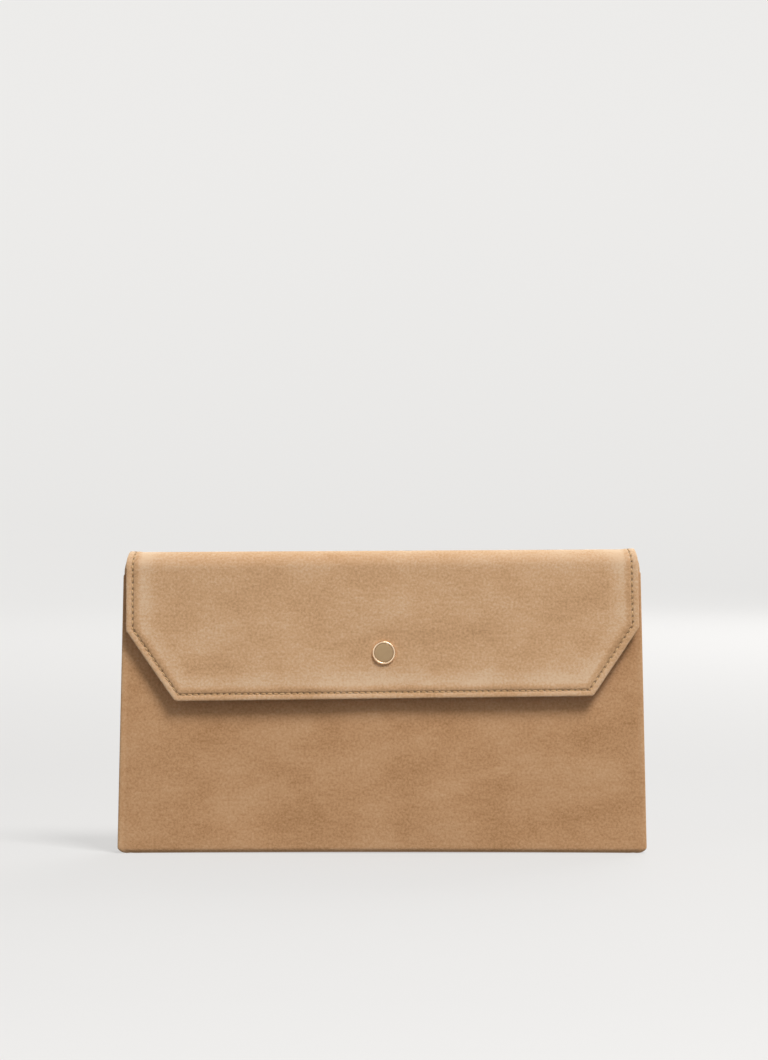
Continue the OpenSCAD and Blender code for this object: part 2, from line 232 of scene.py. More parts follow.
@dataclass(frozen=True)
class Sizes:
    """The wallet's main sizes in millimetres, with the sections they lead to."""

    body_w: float
    base_d: float
    bag_h: float
    snap_h: float
    tip_h: float
    mouth_w: float = 273.4
    front_h: float = 148.5
    flap_out: float = 5.8
    flap_w: float = 270.0
    kink_w: float = 270.7
    kink_h: float = 118.3
    tip_w: float = 220.6
    fold_w: float = 267.0
    lean: float = math.radians(1.5)
    bend_r: float = 2.8
    corner_r: float = 3.4

    @classmethod
    def from_cad(cls) -> "Sizes":
        """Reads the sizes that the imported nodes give."""
        base_low, base_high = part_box("base_panel")
        fold_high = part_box("fold_panel")[1]
        cap_low, cap_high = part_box("snap_cap")
        flap_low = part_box("flap_panel")[0]
        return cls(
            body_w=(base_high.x - base_low.x) / MM,
            base_d=(base_high.y - base_low.y) / MM,
            bag_h=round(fold_high.z / MM, 1),
            snap_h=round((cap_high.z + cap_low.z) / 2 / MM, 1),
            tip_h=round(flap_low.z / MM, 1),
        )

    @property
    def fold_r(self) -> float:
        """Outer radius of the bend over the top."""
        c, s = math.cos(self.lean), math.sin(self.lean)
        return (self.base_d * c + self.flap_out - self.bag_h * s) / (1 + c - s)

    @property
    def fold_y(self) -> float:
        """y of the bend's centre."""
        return self.base_d / 2 - self.fold_r

    @property
    def fold_z(self) -> float:
        """Height of the bend's centre."""
        return self.bag_h - self.fold_r

    def body_half(self, z: np.ndarray) -> np.ndarray:
        """Half the body's width at a height, before its bottom corners are rounded."""
        return self.body_w / 2 + (self.mouth_w - self.body_w) / 2 * z / self.front_h

    def rounded_half(self, z: np.ndarray) -> np.ndarray:
        """Half the body's width at a height, with rounded bottom corners."""
        drop = self.corner_r - np.clip(z, 0, self.corner_r)
        return self.body_half(z) - self.corner_r + np.sqrt(self.corner_r**2 - drop**2)

    def back_section(self) -> Section:
        """From the middle of the base to the rear, up, over the fold and down the flap."""
        run = self.base_d / 2 - self.bend_r
        turn = math.pi - self.lean
        return Section(
            (0.0, 0.0), 0.0,
            (Leg(run), Leg(self.bend_r * math.pi / 2, math.pi / 2),
             Leg(self.fold_z - self.bend_r), Leg(self.fold_r * turn, turn), Leg(100.0)), 1)

    def front_section(self) -> Section:
        """From the middle of the base to the front and up the leaning front wall."""
        turn = math.pi / 2 + self.lean
        cut = self.bend_r * math.tan(turn / 2)
        return Section(
            (0.0, 0.0), math.pi,
            (Leg(self.base_d / 2 - cut), Leg(self.bend_r * turn, -turn), Leg(200.0)), -1)

    @property
    def s_top(self) -> float:
        """Distance along the back section to the very top of the fold."""
        run = self.base_d / 2 - self.bend_r + self.bend_r * math.pi / 2
        return run + self.fold_z - self.bend_r + self.fold_r * math.pi / 2

    @property
    def s_flap(self) -> float:
        """Distance along the back section to where the flap's flat face starts."""
        return self.s_top + self.fold_r * (math.pi / 2 - self.lean)

    def s_at_height(self, z: float) -> float:
        """Distance along the back section to a height on the flap's flat face."""
        arc_end_z = self.fold_z + self.fold_r * math.sin(self.lean)
        return self.s_flap + (arc_end_z - z) / math.cos(self.lean)

    def s_front(self, v: float) -> float:
        """Distance along the front section to a distance v up the front wall's face."""
        turn = math.pi / 2 + self.lean
        cut = self.bend_r * math.tan(turn / 2)
        return self.base_d / 2 - 2 * cut + self.bend_r * turn + v


# ---------------------------------------------------------------- flat layouts


@dataclass(frozen=True)
class Tongue:
    """A panel's flat outline with one open end, symmetric about u = 0.

    Attributes:
        side: Half the width at a distance s, for the run that starts at the open end.
        stations: The values of s on that run.
        corners: The corners after it on the right, as (u, s, radius). The closing edge runs
            from the last corner to the middle.
        spacing: About how far apart the points are on straight edges.
        steps: Segments round each corner; the last corner takes an even number.
    """

    side: Callable[[np.ndarray], np.ndarray]
    stations: np.ndarray
    corners: tuple[tuple[float, float, float], ...]
    spacing: float = 2.6
    steps: int = 6

    def _split(self) -> tuple[list[np.ndarray], list[int]]:
        """The corner polygon with no inset, and how many segments each straight edge takes."""
        first = np.array([float(self.side(self.stations[-1:])[0]), self.stations[-1]])
        last = np.array([0.0, self.corners[-1][1]])
        points = [first, *[np.array(c[:2]) for c in self.corners], last]
        counts = [max(2, round(float(np.linalg.norm(b - a)) / self.spacing))
                  for a, b in zip(points, points[1:])]
        return points, counts

    @property
    def rows(self) -> int:
        """Segments from the open end to the middle of the last corner's arc."""
        _, counts = self._split()
        arcs = self.steps * (len(self.corners) - 1) + self.steps // 2
        return len(self.stations) - 1 + sum(counts[:-1]) + arcs

    def right(self, inset: float) -> np.ndarray:
        """The right half of the outline, moved inwards.

        Args:
            inset: How far in, or out where it is negative.

        Returns:
            Rows of u and s from the open end to the middle of the closing edge.
        """
        s = self.stations
        half = self.side(s)
        slope = np.gradient(half, s)
        stretch = np.minimum(np.sqrt(1 + slope**2), 1.25)
        run = np.stack([half - inset * stretch, s], 1)
        points, counts = self._split()
        points = [run[-1], *points[1:-1], points[-1]]
        outer = [np.array([float(half[-1]), s[-1]]), *points[1:]]
        edges = [unit(b - a) for a, b in zip(outer, outer[1:])]
        down = 1.0 if self.corners[-1][1] > s[0] else -1.0
        normals = [np.array([-e[1], e[0]]) * down for e in edges]
        moved = []
        for number, (_, _, radius) in enumerate(self.corners):
            a, b = normals[number], normals[number + 1]
            at = outer[number + 1] + inset * (a + b) / (1 + float(a @ b))
            half_turn = math.acos(np.clip(float(a @ b), -1, 1)) / 2
            r = max(radius - inset, 0.3)
            cut = r * math.tan(half_turn)
            enter, leave = at - edges[number] * cut, at + edges[number + 1] * cut
            centre = enter + a * r
            start = enter - centre
            turn = half_turn * 2 / self.steps
            sign = -down
            arc = []
            for k in range(self.steps + 1):
                t = sign * turn * k
                arc.append(centre + np.array([start[0] * math.cos(t) + start[1] * math.sin(t),
                                              -start[0] * math.sin(t) + start[1] * math.cos(t)]))
            arc[-1] = leave
            moved.append(arc)
        end = np.array([0.0, outer[-1][1] + inset * normals[-1][1]])
        out = [run]
        at = run[-1]
        for number, arc in enumerate(moved):
            n = counts[number]
            out.append(np.array([at + (arc[0] - at) * k / n for k in range(1, n)]))
            out.append(np.array(arc))
            at = arc[-1]
        n = counts[-1]
        out.append(np.array([at + (end - at) * k / n for k in range(1, n + 1)]))
        return np.concatenate(out)

    def chain(self, inset: float) -> np.ndarray:
        """The whole outline, from the open end's left, round, to the open end's right."""
        right = self.right(inset)
        left = right * (-1, 1)
        return np.concatenate([left, right[-2::-1]])

    def grid(self, inset: float) -> np.ndarray:
        """A net of points that fills the outline, blended from its four sides.

        Args:
            inset: How far inside the outline its edge lies.

        Returns:
            An array of rows by columns by (u, s).
        """
        right, rows = self.right(inset), self.rows
        side = right[: rows + 1]
        half_bottom = right[rows:]
        bottom = np.concatenate([half_bottom * (-1, 1), half_bottom[-2::-1]])
        xi = (bottom[:, 0] - bottom[0, 0]) / (bottom[-1, 0] - bottom[0, 0])
        eta = (side[:, 1] - side[0, 1]) / (side[-1, 1] - side[0, 1])
        top = np.stack([side[0, 0] * (2 * xi - 1), np.full(xi.shape, side[0, 1])], 1)
        left = side * (-1, 1)
        x, e = xi[None, :, None], eta[:, None, None]
        flat = (1 - e) * top[None] + e * bottom[None] + (1 - x) * left[:, None] + x * side[:, None]
        flat -= (1 - x) * (1 - e) * top[0] + x * (1 - e) * top[-1]
        flat -= (1 - x) * e * bottom[0] + x * e * bottom[-1]
        return flat


@dataclass(frozen=True)
class Band:
    """A panel's flat outline with two open ends and two free sides, symmetric about u = 0."""

    side: Callable[[np.ndarray], np.ndarray]
    stations: np.ndarray
    spacing: float = 2.6

    @property
    def rows(self) -> int:
        """Segments from one open end to the other."""
        return len(self.stations) - 1

    def right(self, inset: float) -> np.ndarray:
        """The right side, moved inwards by inset."""
        half = self.side(self.stations)
        stretch = np.minimum(np.sqrt(1 + np.gradient(half, self.stations) ** 2), 1.25)
        return np.stack([half - inset * stretch, self.stations], 1)

    def grid(self, inset: float) -> np.ndarray:
        """A net of points that fills the band, as rows by columns by (u, s)."""
        right = self.right(inset)
        columns = 2 * max(4, round(float(right[:, 0].max()) / self.spacing))
        xi = np.linspace(-1, 1, columns + 1)
        return np.stack([right[:, :1] * xi[None], np.repeat(right[:, 1:], xi.size, 1)], 2)


Rim = Sequence[tuple[float, float]]


def seam_line(layout: Tongue | Band) -> tuple[np.ndarray, np.ndarray]:
    """The seam's flat points, on the right only for a band, and the distance to each of them."""
    line = layout.chain(SEAM_IN) if isinstance(layout, Tongue) else layout.right(SEAM_IN)[::-1]
    return line, distances(line)


def seam_pitch(layout: Tongue | Band) -> float:
    """The stitch pitch nearest the usual one that fills a tongue's seam exactly."""
    if isinstance(layout, Band):
        return PITCH
    run = float(seam_line(layout)[1][-1])
    return run / round(run / PITCH)


def turned_rim(thick: float, hem: float, groove: float = 0.42) -> list[tuple[float, float]]:
    """The profile of a turned and topstitched edge.

    Args:
        thick: Thickness of the whole turned edge.
        hem: How far the turned part reaches in under the sheet.
        groove: How deep the stitches pull the face in.

    Returns:
        Pairs of inset and height, from the face round the edge to the hem's inner end and back
        up to the sheet's own underside.
    """
    puff = groove * 0.55
    face = [(7.5, puff * 0.3), (6.2, puff * 0.95), (5.1, puff), (4.4, puff * 0.3),
            (3.95, -groove * 0.5), (3.65, -groove * 0.92), (SEAM_IN, -groove), (3.15, -groove * 0.92),
            (2.8, -groove * 0.4), (2.2, 0.03), (1.5, 0.07)]
    r = thick / 2
    turn = [(r * (1 - math.sin(a)) * 0.95, -r + r * math.cos(a))
            for a in np.radians([18, 38, 58, 78, 98, 118, 138, 160])]
    inner = [(r + 0.5, -thick), (hem * 0.5, -thick), (hem, -thick), (hem + 0.2, -1.0)]
    return [*face, *turn, *inner]


def plain_rim(thick: float, lift: float, edge: float) -> list[tuple[float, float]]:
    """The profile of a cut edge.

    Args:
        thick: Thickness of the sheet.
        lift: Height of its upper face.
        edge: How far inside the outline it is cut.

    Returns:
        Pairs of inset and height, from the upper face round to the underside.
    """
    e, under = min(0.12, thick / 3), lift - thick
    return [(edge + 1.2, lift), (edge + e, lift), (edge, lift - e), (edge, under + e),
            (edge + e, under), (edge + 1.2, under)]


def sewn_rim(thick: float, lift: float, edge: float, groove: float = 0.14
             ) -> list[tuple[float, float]]:
    """The profile of a cut edge whose underside the stitches pull in, with plain_rim's values."""
    under = lift - thick
    seam = [(2.6, under), (3.0, under + groove * 0.7), (SEAM_IN, under + groove),
            (3.8, under + groove * 0.7), (4.4, under), (6.0, under)]
    return [*plain_rim(thick, lift, edge)[:-1], *seam]


class FlatMesh:
    """A closed sheet in flat coordinates: face, rims, underside, and caps at its open ends."""

    def __init__(self, layout: Tongue | Band, rim: Rim) -> None:
        """Builds the sheet.

        Args:
            layout: The flat outline.
            rim: Pairs of inset and height from the face's edge to the underside's edge.
        """
        self.flat: list[tuple[float, float, float]] = []
        self.uv: list[tuple[float, float]] = []
        self.inset: list[float] = []
        self.along: list[float] = []
        self.faces: list[tuple[int, ...]] = []
        insets = [d for d, _ in rim]
        heights = [h for _, h in rim]
        face = layout.grid(insets[0])
        rows, columns = face.shape[0] - 1, face.shape[1] - 1
        outer = self._net(face, heights[0], insets[0], None)
        strips = self._strips(layout, outer, rows, columns)
        unrolled = insets[0] - distances(np.array(rim))
        lasts = []
        for strip, chain_of in strips:
            run = distances(chain_of(SEAM_IN))
            previous = strip
            for k in range(1, len(rim)):
                here, paper = chain_of(insets[k]), chain_of(float(unrolled[k]))
                ring = [self._point(here[b], heights[k], paper[b], insets[k], float(run[b]))
                        for b in range(len(strip))]
                self._ribbon(previous, ring)
                previous = ring
            for b, index in enumerate(strip):
                self.along[index] = float(run[b])
            lasts.append(previous)
            self._rim_ends(strip, previous, len(rim) - 1)
        inner_flat = layout.grid(insets[-1])
        edge = {outer_i: last for (strip, _), lasted in zip(strips, lasts)
                for outer_i, last in zip(strip, lasted)}
        inner = self._net(inner_flat, heights[-1], insets[-1],
                          {tuple(np.argwhere(outer == o)[0]): i for o, i in edge.items()})
        for i in range(rows):
            for j in range(columns):
                a, b = outer[i, j], outer[i, j + 1]
                c, d = outer[i + 1, j + 1], outer[i + 1, j]
                self.faces.append((a, b, c, d))
                a, b = inner[i, j], inner[i, j + 1]
                c, d = inner[i + 1, j + 1], inner[i + 1, j]
                self.faces.append((a, d, c, b))
        for j in range(columns):
            self.faces.append((outer[0, j + 1], outer[0, j], inner[0, j], inner[0, j + 1]))
            if isinstance(layout, Band):
                self.faces.append((outer[-1, j], outer[-1, j + 1], inner[-1, j + 1], inner[-1, j]))
        nets = np.unique(np.concatenate([outer.ravel(), inner.ravel()]))
        away = self._from_edge(layout, np.array(self.flat)[nets, :2])
        for index, distance in zip(nets, away):
            self.inset[index] = float(distance)

    @staticmethod
    def _from_edge(layout: Tongue | Band, at: np.ndarray) -> np.ndarray:
        """Distance from flat points to the outline's free edges."""
        edge = layout.chain(0.0) if isinstance(layout, Tongue) else layout.right(0.0)
        at = at if isinstance(layout, Tongue) else np.abs(at * (1, 0)) + at * (0, 1)
        a, b = edge[:-1], edge[1:]
        step = b - a
        square = np.maximum((step**2).sum(1), 1e-9)
        best = np.full(len(at), np.inf)
        for k in range(len(a)):
            t = np.clip(((at - a[k]) @ step[k]) / square[k], 0, 1)
            best = np.minimum(best, np.hypot(*(at - a[k] - t[:, None] * step[k]).T))
        return best

    def _point(self, at: np.ndarray, h: float, paper: np.ndarray, inset: float,
               along: float) -> int:
        """Adds one vertex and returns its number."""
        self.flat.append((float(at[0]), float(at[1]), h))
        self.uv.append((float(paper[0]), float(paper[1])))
        self.inset.append(inset)
        self.along.append(along)
        return len(self.flat) - 1

    def _net(self, points: np.ndarray, h: float, inset: float,
             known: dict[tuple[int, int], int] | None) -> np.ndarray:
        """Adds a net of vertices, keeping those that are known, and returns their numbers."""
        out = np.zeros(points.shape[:2], int)
        for i in range(points.shape[0]):
            for j in range(points.shape[1]):
                if known is not None and (i, j) in known:
                    out[i, j] = known[(i, j)]
                else:
                    out[i, j] = self._point(points[i, j], h, points[i, j], inset, 0.0)
        return out

    @staticmethod
    def _strips(layout: Tongue | Band, outer: np.ndarray, rows: int, columns: int
                ) -> list[tuple[list[int], Callable[[float], np.ndarray]]]:
        """The face's free edges in order, each with the function that gives its rings."""
        left = [int(outer[i, 0]) for i in range(rows + 1)]
        right = [int(outer[i, columns]) for i in range(rows, -1, -1)]
        if isinstance(layout, Band):
            return [(left, lambda d: layout.right(d) * (-1, 1)),
                    (right, lambda d: layout.right(d)[::-1])]
        bottom = [int(outer[rows, j]) for j in range(1, columns)]
        return [(left + bottom + right, layout.chain)]

    def _ribbon(self, a: Sequence[int], b: Sequence[int]) -> None:
        """Joins two rings with quads."""
        for k in range(len(a) - 1):
            self.faces.append((a[k], a[k + 1], b[k + 1], b[k]))

    def _rim_ends(self, strip: Sequence[int], last: Sequence[int], rings: int) -> None:
        """Closes the two ends of a rim with one face each."""
        n = len(strip)
        first = [last[0] - n * k for k in range(rings)][::-1]
        end = [last[-1] - n * k for k in range(rings)]
        self.faces.append((strip[0], *first))
        self.faces.append((*end, strip[-1]))


@dataclass(frozen=True)
class Drape:
    """The small ways the real sheets leave their ideal section, all in millimetres.

    Attributes:
        rise: How much taller the right-hand top corner is than the middle.
        skew: How much the flap's lower right corner rides up beyond that.
        lift: How far the flap's lower edge sits above its cut height.
        slide: How far the flap's lower edge lies to the right.
        ears: How far the doubled edges stand up at the two ends of the fold.
        flare: How far the flap's bottom edge stands out between its corners and the snap.
        bow: How far the base's middle stands off the surface.
        wave: Height of the soft undulation of the walls.
    """

    rise: float = 0.8
    skew: float = 1.3
    lift: float = 1.8
    slide: float = 1.0
    ears: float = 0.45
    flare: float = 1.3
    bow: float = 0.5
    wave: float = 0.22

    def move(self, points: np.ndarray, normals: np.ndarray, flap: bool, sizes: Sizes) -> np.ndarray:
        """Moves points off their ideal places.

        Args:
            points: Rows of x, y and z.
            normals: The outward normals at them.
            flap: Whether they belong to the flap.
            sizes: The wallet's sizes.

        Returns:
            The moved points.
        """
        x, z = points[:, 0], points[:, 2]
        out = points.copy()
        side = x / (sizes.body_w / 2)
        out[:, 2] += self.rise * side * np.clip(z / sizes.bag_h, 0, 1)
        ear = smoothstep((np.abs(x) - 127) / 3.5) - 0.5
        out[:, 2] += self.ears * ear * smoothstep((z - 150) / 8)
        snap = np.hypot(x, z - sizes.snap_h)
        far = smoothstep((snap - 9) / 30)
        wave = (np.sin(x * 0.043 + z * 0.021 + 0.6) + 0.7 * np.sin(x * 0.026 - z * 0.057 + 2.1)
                + 0.5 * np.sin(x * 0.091 + z * 0.034 + 4.0))
        push = self.wave * wave * far * smoothstep(z / 20)
        if flap:
            low = np.clip((sizes.bag_h - z) / (sizes.bag_h - sizes.tip_h), 0, 1)
            out[:, 2] += (self.skew * side + self.lift) * low**2
            out[:, 0] += self.slide * low**2
            push = push * smoothstep((sizes.bag_h - z) / 25) + self.flare * low**3 * far
        else:
            out[:, 2] += self.bow * (1 - side**2) * np.exp(-z / 25)
            push = push * smoothstep((sizes.front_h - 2 - z) / 14)
        return out + normals * push[:, None]


# ---------------------------------------------------------------- meshes


def new_object(name: str, points: np.ndarray, faces: Sequence[Sequence[int]]
               ) -> bpy.types.Object:
    """Makes a smooth-shaded mesh object at the origin from points in millimetres.

    Args:
        name: The piece's name.
        points: Rows of x, y and z.
        faces: Vertex numbers of each face.

    Returns:
        The object, linked into the scene.
    """
    mesh = bpy.data.meshes.new(name)
    mesh.from_pydata((points * MM).tolist(), [], [tuple(int(i) for i in f) for f in faces])
    mesh.validate()
    mesh.update()
    mesh.polygons.foreach_set("use_smooth", [True] * len(mesh.polygons))
    obj = bpy.data.objects.new(name, mesh)
    bpy.context.scene.collection.objects.link(obj)
    return obj


def outward(points: np.ndarray, faces: Sequence[Sequence[int]]) -> list[tuple[int, ...]]:
    """Turns every face of a closed mesh round if the mesh is inside out."""
    volume = 0.0
    for f in faces:
        a = points[f[0]]
        for k in range(1, len(f) - 1):
            volume += float(np.dot(a, np.cross(points[f[k]], points[f[k + 1]])))
    return [tuple(f[::-1]) if volume < 0 else tuple(f) for f in faces]


def set_maps(obj: bpy.types.Object, uv: np.ndarray, **values: np.ndarray) -> None:
    """Stores the flat coordinates as a UV map in millimetres, and named values on the points.

    Args:
        obj: The mesh object.
        uv: Flat coordinates of each vertex.
        values: Attribute names with one number for each vertex.
    """
    mesh = obj.data
    layer = mesh.uv_layers.new(name="Flat")
    corner = np.zeros(len(mesh.loops), int)
    mesh.loops.foreach_get("vertex_index", corner)
    layer.data.foreach_set("uv", uv[corner].astype(np.float32).ravel())
    for name, data in values.items():
        attribute = mesh.attributes.new(name, "FLOAT", "POINT")
        attribute.data.foreach_set("value", data.astype(np.float32))


def dress(obj: bpy.types.Object, material: bpy.types.Material) -> bpy.types.Object:
    """Gives an object one material in place of any it has."""
    obj.data.materials.clear()
    obj.data.materials.append(material)
    return obj


class Wall(Enum):
    """Which section a sheet is bent onto."""

    BACK = "back"
    FLAP = "flap"
    FRONT = "front"


@dataclass
class Former:
    """Bends flat points onto the wallet's sections."""

    sizes: Sizes
    drape: Drape = field(default_factory=Drape)

    def place(self, flat: np.ndarray, wall: Wall) -> tuple[np.ndarray, np.ndarray]:
        """Bends flat points into place.

        Args:
            flat: Rows of u, s and h. On the front wall s runs up the front section.
            wall: The section they go on.

        Returns:
            Points and outward normals, as rows of x, y and z.
        """
        front = wall is Wall.FRONT
        section = self.sizes.front_section() if front else self.sizes.back_section()
        line, normal = section.at(flat[:, 1])
        normals = np.stack([np.zeros(len(flat)), normal[:, 0], normal[:, 1]], 1)
        points = np.stack([flat[:, 0], line[:, 0], line[:, 1]], 1)
        points = self.drape.move(points, normals, wall is Wall.FLAP, self.sizes)
        return points + normals * flat[:, 2:3], normals

    def sheet(self, name: str, layout: Tongue | Band, rim: Rim, wall: Wall,
              sewn: tuple[float, float] | None = None, shift: float = 0.0) -> bpy.types.Object:
        """Makes a closed sheet from its flat outline.

        Args:
            name: The piece's name.
            layout: The flat outline.
            rim: The edge's profile; its last height is the underside's.
            wall: The section it is bent onto.
            sewn: The stretch of s in which its edge is sewn through, if it is.
            shift: Added to v in the map, so that two sheets' patterns differ or run on.

        Returns:
            The object, with its Flat map and its inset, along, sewn and worn values.
        """
        flat_mesh = FlatMesh(layout, rim)
        flat = np.array(flat_mesh.flat)
        points, _ = self.place(flat, wall)
        obj = new_object(name, points, outward(points, flat_mesh.faces))
        uv = np.array(flat_mesh.uv)
        if wall is Wall.FRONT:
            uv = uv * (1, -1)
        low, high = sewn or (1.0, 0.0)
        holes = ((flat[:, 1] >= low) & (flat[:, 1] <= high)).astype(float)
        bent = 0.0 if wall is Wall.FRONT else 1.0
        # paler towards the top of the fold: partly rubbed nap, partly a painted highlight where the
        # fold faces the light
        worn = bent * smoothstep((19 - np.abs(flat[:, 1] - self.sizes.s_top)) / 11)
        set_maps(obj, uv + (0, shift), inset=np.array(flat_mesh.inset), worn=worn,
                 along=np.array(flat_mesh.along) / seam_pitch(layout), sewn=holes)
        return obj


# ---------------------------------------------------------------- finishes


def start_material(name: str) -> tuple[bpy.types.Material, bpy.types.NodeTree, bpy.types.Node]:
    """Makes an empty node material.

    Args:
        name: The material's name.

    Returns:
        The material, its tree and its Principled shader, joined to the output.
    """
    material = bpy.data.materials.new(name)
    material.use_nodes = True
    tree = material.node_tree
    tree.nodes.clear()
    shader = add_node(tree, "ShaderNodeBsdfPrincipled")
    add_node(tree, "ShaderNodeOutputMaterial", Surface=shader)
    return material, tree, shader


def set_stops(ramp: bpy.types.Node, *stops: tuple[float, str]) -> bpy.types.Node:
    """Gives a colour ramp its stops, each a position and a hex colour, and returns the ramp."""
    elements = ramp.color_ramp.elements
    while len(elements) < len(stops):
        elements.new(0.5)
    for element, (position, colour) in zip(elements, stops):
        element.position = position
        element.color = to_linear(colour)
    return ramp


def finish_surface(tree: bpy.types.NodeTree, shader: bpy.types.Node,
                   colour: bpy.types.NodeSocket, relief: bpy.types.Node, strength: float,
                   depth: float, **values: Any) -> None:
    """Joins a colour and a relief to the shader, and sets its plain values.

    Args:
        tree: The material's tree.
        shader: Its Principled shader.
        colour: The output that gives the colour.
        relief: The node whose first output gives the height.
        strength: How much of the relief shows.
        depth: Depth of the relief in millimetres.
        values: The shader's other inputs, with underscores for spaces.
    """
    bump = add_node(tree, "ShaderNodeBump", Strength=strength, Distance=depth * MM, Height=relief)
    tree.links.new(colour, shader.inputs["Base Color"])
    tree.links.new(bump.outputs[0], shader.inputs["Normal"])
    for name, value in values.items():
        shader.inputs[name.replace("_", " ")].default_value = value


@dataclass(frozen=True)
class Suede:
    """Split calf suede, buffed to a short nap.

    The nap is about 0.5 mm long. It scatters light into a matt, slightly glowing surface, and lies in
    cloudy patches 15 to 40 mm long.
    Its turned edges and the top of the fold are paler, partly rubbed nap and partly painted
    highlight. The seam gets painted shade beside it and a painted highlight beyond it.

    Attributes:
        name: The material's name.
        shade: Colour where the nap lies away from the light.
        face: Mean colour.
        glow: Colour where the nap stands up.
        nap: Depth of the nap's relief in millimetres.
        bands: Changes of tone: from, to, how much, and how soft its ends are. They paint highlight
            and shade along the edges.
        hole: Colour of the painted shade in the needle holes and along the seam's valley.
    """

    name: str
    shade: str
    face: str
    glow: str
    nap: float = 0.16
    bands: tuple[tuple[float, float, float, float], ...] = ()
    hole: str = "#5E4029"

    def material(self) -> bpy.types.Material:
        """Builds the node material."""
        material, tree, shader = start_material(self.name)
        flat = add_node(tree, "ShaderNodeUVMap", uv_map="Flat")
        inset, along, sewn, worn = (
            add_node(tree, "ShaderNodeAttribute", attribute_name=name).outputs[2]
            for name in ("inset", "along", "sewn", "worn"))
        cloud_at = add_node(tree, "ShaderNodeMapping", Vector=flat, Scale=(1 / 34, 1 / 23, 1),
                            Location=(3.7, 1.9, 0))
        cloud = add_node(tree, "ShaderNodeTexNoise", Vector=cloud_at, Scale=1.0, Detail=2.0,
                         Roughness=0.45, Distortion=0.35)
        brush_at = add_node(tree, "ShaderNodeMapping", Vector=flat, Scale=(1 / 7.5, 1 / 3.2, 1))
        brush = add_node(tree, "ShaderNodeTexNoise", Vector=brush_at, Scale=1.0, Detail=2.0,
                         Roughness=0.55)
        # the grain is 1.3 mm, about twice the real tufts, so that it shows at this distance
        grain = add_node(tree, "ShaderNodeTexNoise", Vector=flat, Scale=1 / 1.3, Detail=3.0,
                         Roughness=0.62)
        fibre = add_node(tree, "ShaderNodeTexNoise", Vector=flat, Scale=1 / 0.42, Detail=2.0,
                         Roughness=0.7)
        tone = add_node(tree, "ShaderNodeMath", cloud, 0.8, 0.1, operation="MULTIPLY_ADD")
        for noise, share in ((brush, 0.36), (grain, 1.3), (fibre, 0.7)):
            part = add_node(tree, "ShaderNodeMath", noise, share, -share / 2,
                            operation="MULTIPLY_ADD")
            tone = add_node(tree, "ShaderNodeMath", tone, part, operation="ADD")
        # painted light along the edges: the turned edge is paler, partly its rubbed nap and partly a
        # painted highlight on its roll;
        # beside the seam the puffed suede gets painted shade, and beyond it a painted highlight where
        # the padded face tilts up to the light
        for low, high, change, soft in self.bands:
            for start, end, sign in ((low - soft, low + soft, 1), (high, high + 5 * soft, -1)):
                step = add_node(tree, "ShaderNodeMapRange", inset, start, end, 0.0, sign * change,
                                interpolation_type="SMOOTHSTEP")
                tone = add_node(tree, "ShaderNodeMath", tone, step, operation="ADD")
        # the top of the fold is made paler: partly rubbed nap, partly a painted highlight
        tone = add_node(tree, "ShaderNodeMath", worn, 0.16, tone, operation="MULTIPLY_ADD",
                        use_clamp=True)
        ramp = set_stops(add_node(tree, "ShaderNodeValToRGB", tone), (0.0, self.shade),
                         (0.5, self.face), (1.0, self.glow))
        hole = self._holes(tree, inset, along, sewn)
        # painted shade in the needle holes and along the seam's valley
        dark = add_node(tree, "ShaderNodeMath", hole, 0.62, operation="MULTIPLY")
        colour = add_node(tree, "ShaderNodeMix", data_type="RGBA", blend_type="MIX", i0=dark,
                          i6=ramp, i7=to_linear(self.hole)).outputs[2]
        height = add_node(tree, "ShaderNodeMath", grain, 0.65, operation="MULTIPLY")
        for part, share in ((fibre, 0.5), (brush, 0.7), (hole, -2.2)):
            height = add_node(tree, "ShaderNodeMath", part, share, height,
                              operation="MULTIPLY_ADD")
        finish_surface(tree, shader, colour, height, 0.9, self.nap, Roughness=0.92,
                       Diffuse_Roughness=0.9, Specular_IOR_Level=0.12, Sheen_Weight=0.22,
                       Sheen_Roughness=0.5, Sheen_Tint=to_linear("#E6DACB"))
        return material

    @staticmethod
    def _holes(tree: bpy.types.NodeTree, inset: bpy.types.NodeSocket,
               along: bpy.types.NodeSocket, sewn: bpy.types.NodeSocket) -> bpy.types.Node:
        """A dimple between every two stitches, in a shallow valley along the seam, for relief and
        painted shade.

        Args:
            tree: The material's tree.
            inset: Distance from the edge in millimetres.
            along: Distance along the seam in stitches.
            sewn: 1 where the sheet is sewn through and 0 elsewhere.

        Returns:
            The node that gives 1 in a hole and 0 away from the seam.
        """
        part = add_node(tree, "ShaderNodeMath", along, operation="FRACT")
        step = add_node(tree, "ShaderNodeMath", part, 0.5, operation="SUBTRACT")
        inwards = add_node(tree, "ShaderNodeMath", inset, SEAM_IN + 0.1, operation="SUBTRACT")
        slant = add_node(tree, "ShaderNodeMath", inwards, 0.45, operation="MULTIPLY")
        across = add_node(tree, "ShaderNodeMath", step, PITCH / 2, slant,
                          operation="MULTIPLY_ADD")
        off = add_node(tree, "ShaderNodeMath", inwards, operation="ABSOLUTE")
        # the valley along the seam gets painted shade
        valley = add_node(tree, "ShaderNodeMapRange", off, 0.7, 0.1, 0.0, 0.3,
                          interpolation_type="SMOOTHSTEP")
        squares = [add_node(tree, "ShaderNodeMath", side, 2.0, operation="POWER")
                   for side in (across, inwards)]
        square = add_node(tree, "ShaderNodeMath", *squares, operation="ADD")
        away = add_node(tree, "ShaderNodeMath", square, operation="SQRT")
        hole = add_node(tree, "ShaderNodeMapRange", away, 0.75, 0.3, 0.0, 1.0,
                        interpolation_type="SMOOTHSTEP")
        deeper = add_node(tree, "ShaderNodeMath", hole, valley, operation="MAXIMUM")
        return add_node(tree, "ShaderNodeMath", deeper, sewn, operation="MULTIPLY")


